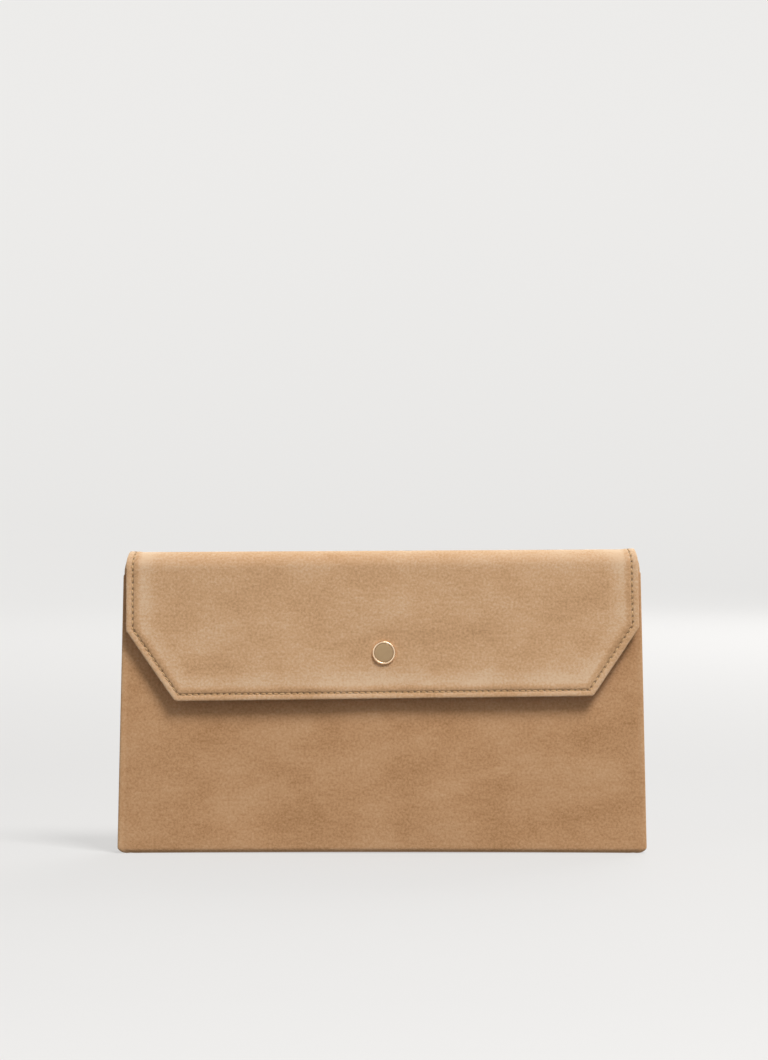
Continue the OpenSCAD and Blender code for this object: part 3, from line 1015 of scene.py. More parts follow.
@dataclass(frozen=True)
class Textile:
    """Plain-woven viscose and cotton lining, with a thread about every half millimetre.

    The crossing threads give a small regular checker of highlights, with slubs along each thread.
    """

    name: str = "lining_plain_weave"
    hollow: str = "#9C8A6E"
    thread: str = "#CDBB9D"
    pitch: float = 0.55

    def material(self) -> bpy.types.Material:
        """Builds the node material."""
        material, tree, shader = start_material(self.name)
        flat = add_node(tree, "ShaderNodeUVMap", uv_map="Flat")
        waves = []
        for output in add_node(tree, "ShaderNodeSeparateXYZ", flat).outputs[:2]:
            turns = add_node(tree, "ShaderNodeMath", output, math.pi / self.pitch,
                             operation="MULTIPLY")
            waves.append(add_node(tree, "ShaderNodeMath", turns, operation="SINE"))
        cross = add_node(tree, "ShaderNodeMath", *waves, operation="MULTIPLY")
        height = add_node(tree, "ShaderNodeMath", cross, 0.5, 0.5, operation="MULTIPLY_ADD")
        slub_at = add_node(tree, "ShaderNodeMapping", Vector=flat, Scale=(1 / 6, 1 / 0.6, 1))
        slub = add_node(tree, "ShaderNodeTexNoise", Vector=slub_at, Scale=1.0, Detail=2.0)
        slubs = add_node(tree, "ShaderNodeMath", slub, 0.9, -0.3, operation="MULTIPLY_ADD")
        tone = add_node(tree, "ShaderNodeMath", height, 0.7, slubs, operation="MULTIPLY_ADD",
                        use_clamp=True)
        ramp = set_stops(add_node(tree, "ShaderNodeValToRGB", tone), (0.0, self.hollow),
                         (1.0, self.thread))
        finish_surface(tree, shader, ramp.outputs[0], height, 0.6, 0.08, Roughness=0.72,
                       Specular_IOR_Level=0.3, Sheen_Weight=0.15)
        return material


@dataclass(frozen=True)
class Grit:
    """A matt material with fine specks all through it, such as pressed fibre board or ferrite.

    Attributes:
        name: The material's name.
        specks: Colour of the specks.
        body: Colour between them.
        size: Size of a speck in millimetres.
        detail: How far the specks break up into finer ones.
        rough: How ragged they are.
        stops: Where the noise is all specks, and where it is none.
        depth: Depth of the relief in millimetres.
        shine: The surface's roughness.
    """

    name: str
    specks: str
    body: str
    size: float
    detail: float
    rough: float
    stops: tuple[float, float]
    depth: float
    shine: float

    def material(self) -> bpy.types.Material:
        """Builds the node material."""
        material, tree, shader = start_material(self.name)
        place = add_node(tree, "ShaderNodeTexCoord").outputs["Object"]
        grit = add_node(tree, "ShaderNodeTexNoise", Vector=place, Scale=1 / (self.size * MM),
                        Detail=self.detail, Roughness=self.rough)
        ramp = set_stops(add_node(tree, "ShaderNodeValToRGB", grit), (self.stops[0], self.specks),
                         (self.stops[1], self.body))
        finish_surface(tree, shader, ramp.outputs[0], grit, 0.4, self.depth, Roughness=self.shine)
        return material


@dataclass(frozen=True)
class Thread:
    """Bonded three-ply polyester thread, golden tan: a soft gloss with a fine diagonal twist."""

    name: str = "thread_bonded_polyester"
    dark: str = "#B98A52"
    light: str = "#E3BC86"
    plies: float = 3.0
    lay: float = 1.5

    def material(self) -> bpy.types.Material:
        """Builds the node material."""
        material, tree, shader = start_material(self.name)
        run, turn, tone = (
            add_node(tree, "ShaderNodeAttribute", attribute_name=name).outputs[2]
            for name in ("ply_run", "ply_turn", "tone"))
        # the plies go once round in one lay
        round_it = add_node(tree, "ShaderNodeMath", turn, self.plies, operation="MULTIPLY")
        twist = add_node(tree, "ShaderNodeMath", run, self.plies / self.lay, round_it,
                         operation="MULTIPLY_ADD")
        angle = add_node(tree, "ShaderNodeMath", twist, math.pi, operation="MULTIPLY")
        wave = add_node(tree, "ShaderNodeMath", angle, operation="SINE")
        ply = add_node(tree, "ShaderNodeMath", wave, operation="ABSOLUTE")
        shade = add_node(tree, "ShaderNodeMath", tone, 0.4, operation="MULTIPLY")
        mixed = add_node(tree, "ShaderNodeMath", ply, 0.6, shade, operation="MULTIPLY_ADD",
                         use_clamp=True)
        # darker where the plies meet: painted shade in the twist's crevices
        ramp = set_stops(add_node(tree, "ShaderNodeValToRGB", mixed), (0.0, self.dark),
                         (1.0, self.light))
        finish_surface(tree, shader, ramp.outputs[0], ply, 0.8, 0.07, Roughness=0.5, Sheen_Weight=0.2)
        return material


class MetalWork(Enum):
    """How a metal part's surface was finished, with how much that varies its roughness."""

    POLISHED = 0.10
    BRUSHED = 0.22
    TUMBLED = 0.15


@dataclass(frozen=True)
class Metal:
    """Plated pressed metal.

    Polished plating mirrors the room in soft bands, brushing draws the mirror out into a satin
    with fine straight lines, and tumbling leaves an even haze.

    Attributes:
        name: The material's name.
        colour: Its reflection colour.
        roughness: Mean roughness.
        work: How it was finished.
        line: Width of a brush line or haze grain in millimetres.
        smear: Width of the faint smears in millimetres.
    """

    name: str
    colour: str
    roughness: float
    work: MetalWork
    line: float = 0.12
    smear: float = 2.5

    def material(self) -> bpy.types.Material:
        """Builds the node material."""
        material, tree, shader = start_material(self.name)
        brushed, spread = self.work is MetalWork.BRUSHED, self.work.value
        place = add_node(tree, "ShaderNodeTexCoord").outputs["Object"]
        at = add_node(tree, "ShaderNodeMapping", Vector=place,
                      Scale=(1 / 30, 1, 1) if brushed else (1, 1, 1))
        lines = add_node(tree, "ShaderNodeTexNoise", Vector=at, Scale=1 / (self.line * MM),
                         Detail=3.0, Roughness=0.6)
        marks = add_node(tree, "ShaderNodeTexNoise", Vector=place, Scale=1 / (self.smear * MM),
                         Detail=2.0)
        rough = add_node(tree, "ShaderNodeMath", lines, spread, self.roughness - spread * 0.5,
                         operation="MULTIPLY_ADD")
        rough = add_node(tree, "ShaderNodeMath", marks, 0.08, rough, operation="MULTIPLY_ADD",
                         use_clamp=True)
        tree.links.new(rough.outputs[0], shader.inputs["Roughness"])
        faint = add_node(tree, "ShaderNodeMath", marks, 0.2, operation="MULTIPLY")
        tint = add_node(tree, "ShaderNodeMix", data_type="RGBA", blend_type="MULTIPLY", i0=faint,
                        i6=to_linear(self.colour), i7=to_linear("#C8B49A")).outputs[2]
        finish_surface(tree, shader, tint, lines, 0.5,
                       0.003 if self.work is MetalWork.POLISHED else 0.012, Metallic=1.0,
                       Anisotropic=0.5 if brushed else 0.0)
        return material


@dataclass(frozen=True)
class Finishes:
    """Every material of the wallet, made once."""

    suede: bpy.types.Material
    suede_wrap: bpy.types.Material
    facing: bpy.types.Material
    lining: bpy.types.Material
    board: bpy.types.Material
    thread: bpy.types.Material
    gilt: bpy.types.Material
    gilt_brushed: bpy.types.Material
    nickel: bpy.types.Material
    ferrite: bpy.types.Material

    @classmethod
    def make(cls) -> "Finishes":
        """Builds all the materials."""
        looks = {
            # two copies of one suede: the lighter one on the back, fold and flap is painted light
            # where the flap catches more light than the front wall
            "suede": Suede("suede_front_copy", "#B38556", "#D1A477", "#E0BC92",
                           # bands: a paler turned edge, partly rubbed nap and partly painted
                           # highlight
                           bands=((-5.0, 1.6, 0.14, 0.7),)),
            "suede_wrap": Suede("suede_flap_lit_copy", "#BF9469", "#DDB589", "#EBCFAD",
                                # bands: a paler turned edge, partly rubbed nap and partly painted
                                # highlight; painted shade beside the seam; a painted highlight beyond
                                # it
                                bands=((-5.0, 2.4, 0.1, 0.7), (3.9, 5.2, -0.16, 0.7),
                                       (6.6, 8.5, 0.3, 1.9))),
            "facing": Suede("suede_facing_thin", "#AF8259", "#C99C70", "#DAB086", 0.1),
            "lining": Textile(),
            # grey-beige and matt, with short fibres lying every way
            "board": Grit("fibre_board_pressed", "#8C8270", "#B9AE9B", 1.2, 4.0, 0.7,
                          (0.35, 0.6), 0.05, 0.85),
            "thread": Thread(),
            "gilt": Metal("gilt_plated_polished", "#F2D6B6", 0.3, MetalWork.POLISHED),
            "gilt_brushed": Metal("gilt_plated_brushed", "#B59A78", 0.4, MetalWork.BRUSHED),
            "nickel": Metal("nickel_plated_steel", "#C9C6BF", 0.3, MetalWork.TUMBLED),
            # charcoal and slightly granular, with a dull ground face
            "ferrite": Grit("ferrite_sintered", "#242322", "#3A3836", 0.3, 3.0, 0.5,
                            (0.0, 1.0), 0.03, 0.6),
        }
        return cls(**{slot: look.material() for slot, look in looks.items()})


# ---------------------------------------------------------------- stitches


class Needle:
    """Sews rows of stitches with one Geometry Nodes tree.

    Attributes:
        CROWN: Height of a stitch's middle control point in millimetres.
        DIP: How far its ends go down into their holes.
    """

    CROWN = 0.62
    DIP = 0.34

    def __init__(self, thread: bpy.types.Material) -> None:
        """Builds the tree.

        Args:
            thread: The thread's material.
        """
        self.thread = thread
        self.tree = bpy.data.node_groups.new("sewn_row", "GeometryNodeTree")
        self.sockets: dict[str, str] = {}
        self._interface()
        self._nodes()

    def _interface(self) -> None:
        """Adds the tree's named inputs and its output."""
        face = self.tree.interface
        face.new_socket("Geometry", in_out="OUTPUT", socket_type="NodeSocketGeometry")
        face.new_socket("Path", in_out="INPUT", socket_type="NodeSocketGeometry")
        for name, kind in (("Length", "NodeSocketFloat"), ("Thread", "NodeSocketFloat"),
                           ("Crown", "NodeSocketFloat"), ("Dip", "NodeSocketFloat"),
                           ("Seed", "NodeSocketInt"), ("Material", "NodeSocketMaterial")):
            socket = face.new_socket(name, in_out="INPUT", socket_type=kind)
            self.sockets[name] = socket.identifier

    def _nodes(self) -> None:
        """Adds the nodes: a bowed stitch, set on each point of the path."""
        tree = self.tree
        inputs = add_node(tree, "NodeGroupInput").outputs
        stored = {"data_type": "FLOAT", "domain": "POINT"}
        half, back, down, radius = (
            add_node(tree, "ShaderNodeMath", inputs[name], share, operation="MULTIPLY")
            for name, share in (("Length", 0.5), ("Length", -0.5), ("Dip", -1.0), ("Thread", 0.5)))
        start = add_node(tree, "ShaderNodeCombineXYZ", X=back, Z=down)
        middle = add_node(tree, "ShaderNodeCombineXYZ", Z=inputs["Crown"])
        end = add_node(tree, "ShaderNodeCombineXYZ", X=half, Z=down)
        bow = add_node(tree, "GeometryNodeCurveQuadraticBezier", Resolution=6, Start=start,
                       Middle=middle, End=end)
        length = add_node(tree, "GeometryNodeSplineParameter").outputs["Length"]
        millimetres = add_node(tree, "ShaderNodeMath", length, 1 / MM, operation="MULTIPLY")
        bow = add_node(tree, "GeometryNodeStoreNamedAttribute", **stored, Geometry=bow,
                       Name="ply_run", Value=millimetres)
        ring = add_node(tree, "GeometryNodeCurvePrimitiveCircle", mode="RADIUS", Resolution=8,
                        Radius=radius)
        share = add_node(tree, "GeometryNodeSplineParameter").outputs["Factor"]
        ring = add_node(tree, "GeometryNodeStoreNamedAttribute", **stored, Geometry=ring,
                        Name="ply_turn", Value=share)
        stitch = add_node(tree, "GeometryNodeCurveToMesh", Curve=bow, Profile_Curve=ring,
                          Fill_Caps=True)
        stitch = add_node(tree, "GeometryNodeSetShadeSmooth", Geometry=stitch)
        curve = add_node(tree, "GeometryNodeMeshToCurve", Mesh=inputs["Path"])
        points = add_node(tree, "GeometryNodeCurveToPoints", mode="EVALUATED", Curve=curve)
        up = add_node(tree, "GeometryNodeInputNamedAttribute", data_type="FLOAT_VECTOR", Name="up")
        upright = add_node(tree, "FunctionNodeAlignRotationToVector", axis="Z", Vector=up)
        ahead = add_node(tree, "FunctionNodeAlignRotationToVector", axis="X", pivot_axis="Z",
                         Rotation=upright, Vector=points.outputs["Tangent"])
        number = add_node(tree, "GeometryNodeInputIndex")
        sway, grow, tone = (
            add_node(tree, "FunctionNodeRandomValue", data_type="FLOAT", i2=low, i3=high,
                     ID=number, Seed=inputs["Seed"]).outputs[1]
            for low, high in ((0.05, 0.19), (0.94, 1.05), (0.0, 1.0)))
        turn = add_node(tree, "ShaderNodeCombineXYZ", Z=sway)
        swayed = add_node(tree, "FunctionNodeRotateRotation", rotation_space="LOCAL",
                          Rotation=ahead, Rotate_By=turn)
        toned = add_node(tree, "GeometryNodeStoreNamedAttribute", **stored, Geometry=points,
                         Name="tone", Value=tone)
        row = add_node(tree, "GeometryNodeInstanceOnPoints", Points=toned, Instance=stitch,
                       Rotation=swayed, Scale=grow)
        real = add_node(tree, "GeometryNodeRealizeInstances", Geometry=row)
        sewn = add_node(tree, "GeometryNodeSetMaterial", Geometry=real,
                        Material=inputs["Material"])
        add_node(tree, "NodeGroupOutput", Geometry=sewn)

    def sew(self, name: str, rows: Sequence[tuple[np.ndarray, np.ndarray]], length: float = 2.62,
            seed: int = 3, thread: float = 0.62) -> bpy.types.Object:
        """Sews rows of stitches into one mesh.

        Args:
            name: The piece's name.
            rows: For each row the stitches' middles and the normals there, in millimetres.
            length: Length of one stitch in millimetres.
            seed: Seed of the small differences between stitches.
            thread: Thread diameter in millimetres.

        Returns:
            The finished piece.
        """
        meshes = []
        for number, (points, ups) in enumerate(rows):
            path = bpy.data.meshes.new(f"{name}_path")
            path.from_pydata((points * MM).tolist(), [(k, k + 1) for k in range(len(points) - 1)],
                             [])
            up = path.attributes.new("up", "FLOAT_VECTOR", "POINT")
            up.data.foreach_set("vector", ups.astype(np.float32).ravel())
            carrier = bpy.data.objects.new(f"{name}_path", path)
            bpy.context.scene.collection.objects.link(carrier)
            modifier = carrier.modifiers.new("sewn_row", "NODES")
            modifier.node_group = self.tree
            values = {"Length": length * MM, "Thread": thread * MM, "Crown": self.CROWN * MM,
                      "Dip": self.DIP * MM, "Seed": seed + number, "Material": self.thread}
            for key, value in values.items():
                modifier[self.sockets[key]] = value
            view = bpy.context.evaluated_depsgraph_get()
            meshes.append(bpy.data.meshes.new_from_object(carrier.evaluated_get(view)))
            bpy.data.objects.remove(carrier)
        return self._joined(name, meshes)

    def _joined(self, name: str, meshes: Sequence[bpy.types.Mesh]) -> bpy.types.Object:
        """Puts several meshes, with their attributes, into one object."""
        points, faces, start = [], [], 0
        values: dict[str, list[np.ndarray]] = {"ply_run": [], "ply_turn": [], "tone": []}
        for mesh in meshes:
            co = np.zeros(len(mesh.vertices) * 3)
            mesh.vertices.foreach_get("co", co)
            points.append(co.reshape(-1, 3))
            faces += [tuple(start + v for v in p.vertices) for p in mesh.polygons]
            start += len(mesh.vertices)
            for key, parts in values.items():
                data = np.zeros(len(mesh.vertices))
                attribute = mesh.attributes.get(key)
                if attribute is not None and attribute.domain == "POINT":
                    attribute.data.foreach_get("value", data)
                parts.append(data)
            bpy.data.meshes.remove(mesh)
        obj = new_object(name, np.concatenate(points) / MM, faces)
        for key, parts in values.items():
            attribute = obj.data.attributes.new(key, "FLOAT", "POINT")
            attribute.data.foreach_set("value", np.concatenate(parts).astype(np.float32))
        return dress(obj, self.thread)


# ---------------------------------------------------------------- pieces


@dataclass(frozen=True)
class Bend:
    """Where a soft piece turns from following one body to following the next, in millimetres."""

    first: str
    second: str
    start: tuple[float, float, float]
    end: tuple[float, float, float]


@dataclass(frozen=True)
class Kit:
    """What every sub-assembly needs: sizes, the former, the finishes, the needle and the bends."""

    sizes: Sizes
    former: Former
    finishes: Finishes
    needle: Needle

    @property
    def over_back(self) -> Bend:
        """The rear half of the fold over the top."""
        s, r = self.sizes, self.sizes.fold_r - 0.5
        return Bend("back", "fold", (0, s.fold_y + r, s.fold_z), (0, s.fold_y, s.fold_z + r))

    @property
    def over_front(self) -> Bend:
        """The front half of the fold over the top."""
        s, r = self.sizes, self.sizes.fold_r - 0.5
        return Bend("fold", "flap", (0, s.fold_y, s.fold_z + r), (0, s.fold_y - r, s.fold_z))

    @property
    def foot(self) -> Bend:
        """The crease at the foot of the front wall."""
        edge = -self.sizes.base_d / 2
        return Bend("back", "front", (0, edge + 2.5, 0), (0, edge, 4.0))

    @property
    def side(self) -> Bend:
        """Across a gusset, from the back panel's inner face to the front panel's."""
        run, lean = 6.2, self.sizes.lean
        return Bend("back", "front", (0, 1.3, -1.3 * math.tan(lean)),
                    (0, 1.3 - run, (run - 1.3) * math.tan(lean)))

    def hand_over(self, obj: bpy.types.Object, material: bpy.types.Material, slot: str,
                  rides: str | Bend, *stands_for: str) -> bpy.types.Object:
        """Dresses a piece, parents it to its body's empty or bakes its transform, and hides the CAD
        nodes it stands for.

        Args:
            obj: The piece.
            material: Its material.
            slot: Not used.
            rides: The body whose empty it is parented to, or a bend, for which its transform is only
                baked.
            stands_for: The CAD nodes it replaces.

        Returns:
            The piece.
        """
        dress(obj, material)
        if isinstance(rides, Bend):
            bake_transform(obj)
        else:
            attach(obj, rides)
        if stands_for:
            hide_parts(*stands_for)
        return obj


@dataclass
class Leather:
    """The suede panels with their turned edges, and the facings behind the fold and the flap.

    Attributes:
        kit: The shared sizes, finishes and tools.
        hem: How far the turned edge reaches in under the panel.
        mouth_hem: The same along the mouth.
        body_edge: Thickness of the walls' turned edge.
        flap_edge: Thickness of the flap's turned edge.
        facing: Thickness of the facings.
        facing_in: How far inside the outline they are cut.
        foot_run: Length of the stretch at the foot that bends under the wallet.
        fine: Distance between points where a sheet bends.
        coarse: Distance between points where it is flat.
    """

    kit: Kit
    hem: float = 8.0
    mouth_hem: float = 13.0
    body_edge: float = 2.35
    flap_edge: float = 1.65
    facing: float = 0.55
    facing_in: float = 1.2
    foot_run: float = 16.0
    fine: float = 0.62
    coarse: float = 2.5

    def back_half(self, s: np.ndarray) -> np.ndarray:
        """Half the width of the base, the back and the fold at a distance s."""
        sizes = self.kit.sizes
        line, _ = sizes.back_section().at(s)
        top = smoothstep((sizes.s_top - np.asarray(s)) / 16)
        return sizes.fold_w / 2 + (sizes.rounded_half(line[:, 1]) - sizes.fold_w / 2) * top

    def flap_half(self, s: np.ndarray) -> np.ndarray:
        """Half the width of the fold and the upper flap at a distance s."""
        sizes = self.kit.sizes
        line, _ = sizes.back_section().at(s)
        share = np.clip((line[:, 1] - sizes.kink_h) / (152 - sizes.kink_h), 0, 1)
        full = (sizes.kink_w + (sizes.flap_w - sizes.kink_w) * share) / 2
        top = smoothstep((np.asarray(s) - sizes.s_top) / 12)
        return sizes.fold_w / 2 + (full - sizes.fold_w / 2) * top

    def front_half(self, s: np.ndarray) -> np.ndarray:
        """Half the width of the base's front and the front wall at a distance s."""
        line, _ = self.kit.sizes.front_section().at(s)
        return self.kit.sizes.rounded_half(line[:, 1])

    def back_layout(self, low: float, high: float) -> Band:
        """The back's outline between two distances, close-set where it bends."""
        sizes = self.kit.sizes
        marks = [low]
        while marks[-1] < high - 1e-6:
            s = marks[-1]
            bent = s < self.foot_run - 2 or s > sizes.s_top - 17
            marks.append(min(high, s + (self.fine if bent else self.coarse)))
        return Band(self.back_half, np.array(marks))

    def flap_layout(self, start: float) -> Tongue:
        """The flap's outline from a distance s down to its chamfered corners."""
        sizes = self.kit.sizes
        end = max(sizes.s_flap, start) + 4.0
        stations = np.linspace(start, end, max(4, round((end - start) / 0.75)) + 1)
        corners = ((sizes.kink_w / 2, sizes.s_at_height(sizes.kink_h), 2.5),
                   (sizes.tip_w / 2, sizes.s_at_height(sizes.tip_h), 2.5))
        return Tongue(self.flap_half, stations, corners)

    def front_layout(self) -> Tongue:
        """The front's outline from the middle of the base up to its mouth edge."""
        sizes = self.kit.sizes
        rim = sizes.s_front(sizes.front_h / math.cos(sizes.lean))
        stations = np.linspace(0.0, self.foot_run, round(self.foot_run / self.fine) + 1)
        mouth = float(sizes.body_half(np.array([sizes.front_h]))[0])
        return Tongue(self.front_half, stations, ((mouth, rim, 1.6),))

    def build(self) -> list[bpy.types.Object]:
        """Builds the five sheets."""
        kit, sizes, bend = self.kit, self.kit.sizes, self.kit.former.sheet
        suede, wrap, facing = kit.finishes.suede, kit.finishes.suede_wrap, kit.finishes.facing
        top, mouth = sizes.s_top, sizes.s_front(sizes.front_h)
        body_rim = turned_rim(self.body_edge, self.hem, 0.0)
        back = bend("suede_back", self.back_layout(0.0, top), body_rim, Wall.BACK, (top - 12, top))
        flap = bend("suede_flap", self.flap_layout(top), turned_rim(self.flap_edge, self.hem),
                    Wall.FLAP, (top, top + 400))
        front = bend("suede_front", self.front_layout(),
                     turned_rim(self.body_edge, self.mouth_hem, 0.1), Wall.FRONT,
                     (mouth - 5, mouth + 5), 61.0)
        lift = -self.flap_edge
        under_flap = bend("facing_flap", self.flap_layout(top),
                          sewn_rim(self.facing, lift, self.facing_in), Wall.FLAP,
                          (sizes.s_flap, top + 400), 23.0)
        under_fold = bend("facing_back", self.back_layout(top - 30, top + 1.5),
                          plain_rim(self.facing - 0.03, lift, self.facing_in), Wall.BACK, None,
                          23.0)
        give = kit.hand_over
        return [
            give(back, wrap, "suede", kit.over_back, "base_panel", "back_panel"),
            give(flap, wrap, "suede", kit.over_front, "flap_panel", "fold_panel"),
            give(front, suede, "suede", kit.foot, "front_panel"),
            give(under_flap, facing, "facing", kit.over_front, "flap_facing", "fold_facing"),
            give(under_fold, facing, "facing", kit.over_back, "back_facing"),
        ]


@dataclass
class Linings:
    """The textile linings of the two walls and the stiffening boards under the suede."""

    kit: Kit
    leather: Leather
    lining_at: float = -1.72
    lining_t: float = 0.3
    board_at: float = -1.02
    board_t: float = 0.56

    def build(self) -> list[bpy.types.Object]:
        """Builds two linings and three boards."""
        kit, sizes, bend = self.kit, self.kit.sizes, self.kit.former.sheet
        give, lining, board = kit.hand_over, kit.finishes.lining, kit.finishes.board
        leather = self.leather
        back_end = sizes.s_top - 24
        front_end = sizes.s_front(134.5)
        cloth = plain_rim(self.lining_t, self.lining_at, 2.5)
        stiff = plain_rim(self.board_t, self.board_at, 2.6)
        back = bend("lining_back", leather.back_layout(0.0, back_end), cloth, Wall.BACK)
        rows = np.concatenate([np.linspace(0, 14, 24), np.linspace(16.5, front_end, 48)])
        front = bend("lining_front", Band(leather.front_half, rows), cloth, Wall.FRONT)
        rear_board = bend("board_back", leather.back_layout(12.0, sizes.s_top - 25), stiff,
                          Wall.BACK)
        front_rows = np.linspace(10.0, sizes.s_front(sizes.front_h - 1.5), 56)
        front_board = bend("board_front", Band(leather.front_half, front_rows), stiff, Wall.FRONT)
        flap_board = bend("board_flap", leather.flap_layout(sizes.s_at_height(147.5)),
                          plain_rim(self.board_t, self.board_at, 8.6), Wall.FLAP)
        made = [
            give(back, lining, "lining", "back", "base_lining", "back_lining"),
            give(front, lining, "lining", kit.foot, "front_lining"),
            give(rear_board, board, "board", "back", "back_board"),
            give(front_board, board, "board", "front", "front_board"),
            give(flap_board, board, "board", "flap", "flap_board"),
        ]
        return made


def rounded(points: Sequence[tuple[float, float]], turns: int = 4) -> np.ndarray:
    """Rounds a line's corners by cutting them again and again, and keeps its ends.

    Args:
        points: The line's corners.
        turns: How often each corner is cut.

    Returns:
        The rounded line's points.
    """
    line = np.array(points, float)
    for _ in range(turns):
        a, b = line[:-1], line[1:]
        cut = np.stack([a * 0.75 + b * 0.25, a * 0.25 + b * 0.75], 1).reshape(-1, 2)
        line = np.concatenate([line[:1], cut, line[-1:]])
    return line


def resampled(line: np.ndarray, count: int) -> np.ndarray:
    """Spreads a number of points evenly along a line."""
    run = distances(line)
    at = np.linspace(0, run[-1], count)
    return np.stack([np.interp(at, run, line[:, k]) for k in range(line.shape[1])], 1)


def net_normals(net: np.ndarray) -> np.ndarray:
    """Unit normals of a net of points, row direction crossed with column direction."""
    n = np.cross(np.gradient(net, axis=0), np.gradient(net, axis=1))
    return n / np.maximum(np.linalg.norm(n, axis=2, keepdims=True), 1e-9)


def thick_net(name: str, net: np.ndarray, start: float, end: float) -> bpy.types.Object:
    """Makes a closed sheet between two distances along a net's normals.

    Args:
        name: The piece's name.
        net: Rows by columns of points in millimetres.
        start: Where its first face lies along the normals.
        end: Where its second face lies.

    Returns:
        The object, with its Flat map.
    """
    normals = net_normals(net)
    rows, columns = net.shape[:2]
    points = np.concatenate([(net + normals * h).reshape(-1, 3) for h in (start, end)])
    at = np.arange(rows * columns).reshape(rows, columns)
    other = at + rows * columns
    faces = []
    for i in range(rows - 1):
        for j in range(columns - 1):
            faces.append((at[i, j], at[i + 1, j], at[i + 1, j + 1], at[i, j + 1]))
            faces.append((other[i, j], other[i, j + 1], other[i + 1, j + 1], other[i + 1, j]))
    edge = [*at[0, :], *at[1:, -1], *at[-1, -2::-1], *at[-2:0:-1, 0]]
    far = [*other[0, :], *other[1:, -1], *other[-1, -2::-1], *other[-2:0:-1, 0]]
    for k in range(len(edge)):
        n = (k + 1) % len(edge)
        faces.append((edge[k], edge[n], far[n], far[k]))
    obj = new_object(name, points, outward(points, faces))
    across, down = distances(net[rows // 2]), distances(net[:, columns // 2])
    flat = np.stack(np.meshgrid(across, down), 2).reshape(-1, 2)
    far_in = np.full(len(points), 9.0)
    set_maps(obj, np.concatenate([flat, flat]), inset=far_in, along=far_in * 0, sewn=far_in * 0)
    return obj


@dataclass
class Gussets:
    """The folded side walls: a suede V on each side with a textile V inside it."""

    kit: Kit
    low: float = 2.3
    high: float = 143.0
    fold_low: float = 9.5
    fold_high: float = 13.5
    suede_t: float = 0.75
    lining_t: float = 0.3
    rear: float = 5.15

    def net(self, side: int) -> np.ndarray:
        """The outer face of one gusset, from the bottom up and from the back to the front."""
        sizes = self.kit.sizes
        rows = []
        for z in np.linspace(self.low, self.high, 58):
            share = (z - self.low) / (self.high - self.low)
            edge = float(sizes.body_half(np.array([z]))[0])
            front = -sizes.base_d / 2 + 2.35 / math.cos(sizes.lean) + z * math.tan(sizes.lean)
            fold = self.fold_low + (self.fold_high - self.fold_low) * share
            fold += 0.5 * math.sin(z * 0.06 + side) * share
            middle, gap = (self.rear + front) / 2, self.rear - front
            line = [(edge - 1.5, self.rear + 0.7), (edge - 2.1, self.rear - 0.1),
                    (edge - 0.62 * fold, middle + gap * 0.2), (edge - fold, middle + 0.3),
                    (edge - fold, middle - 0.3), (edge - 0.62 * fold, middle - gap * 0.2),
                    (edge - 2.1, front + 0.1), (edge - 1.5, front - 0.7)]
            flat = resampled(rounded(line), 34)
            rise = self.kit.former.drape.rise * side * z / sizes.bag_h
            rows.append(np.stack([flat[:, 0] * side, flat[:, 1], np.full(34, z + rise)], 1))
        return np.array(rows)

    def build(self) -> list[bpy.types.Object]:
        """Builds both gussets with their linings."""
        kit, made = self.kit, []
        for side, word in ((-1, "left"), (1, "right")):
            net = self.net(side)
            suede = thick_net(f"gusset_{word}_suede", net, 0.0, -side * self.suede_t)
            start = -side * (self.suede_t + 0.05)
            cloth = thick_net(f"gusset_{word}_lining", net, start, start - side * self.lining_t)
            made.append(kit.hand_over(suede, kit.finishes.suede, "suede", kit.side,
                                      f"gusset_{word}"))
            made.append(kit.hand_over(cloth, kit.finishes.lining, "lining", kit.side,
                                      f"gusset_lining_{word}"))
        return made


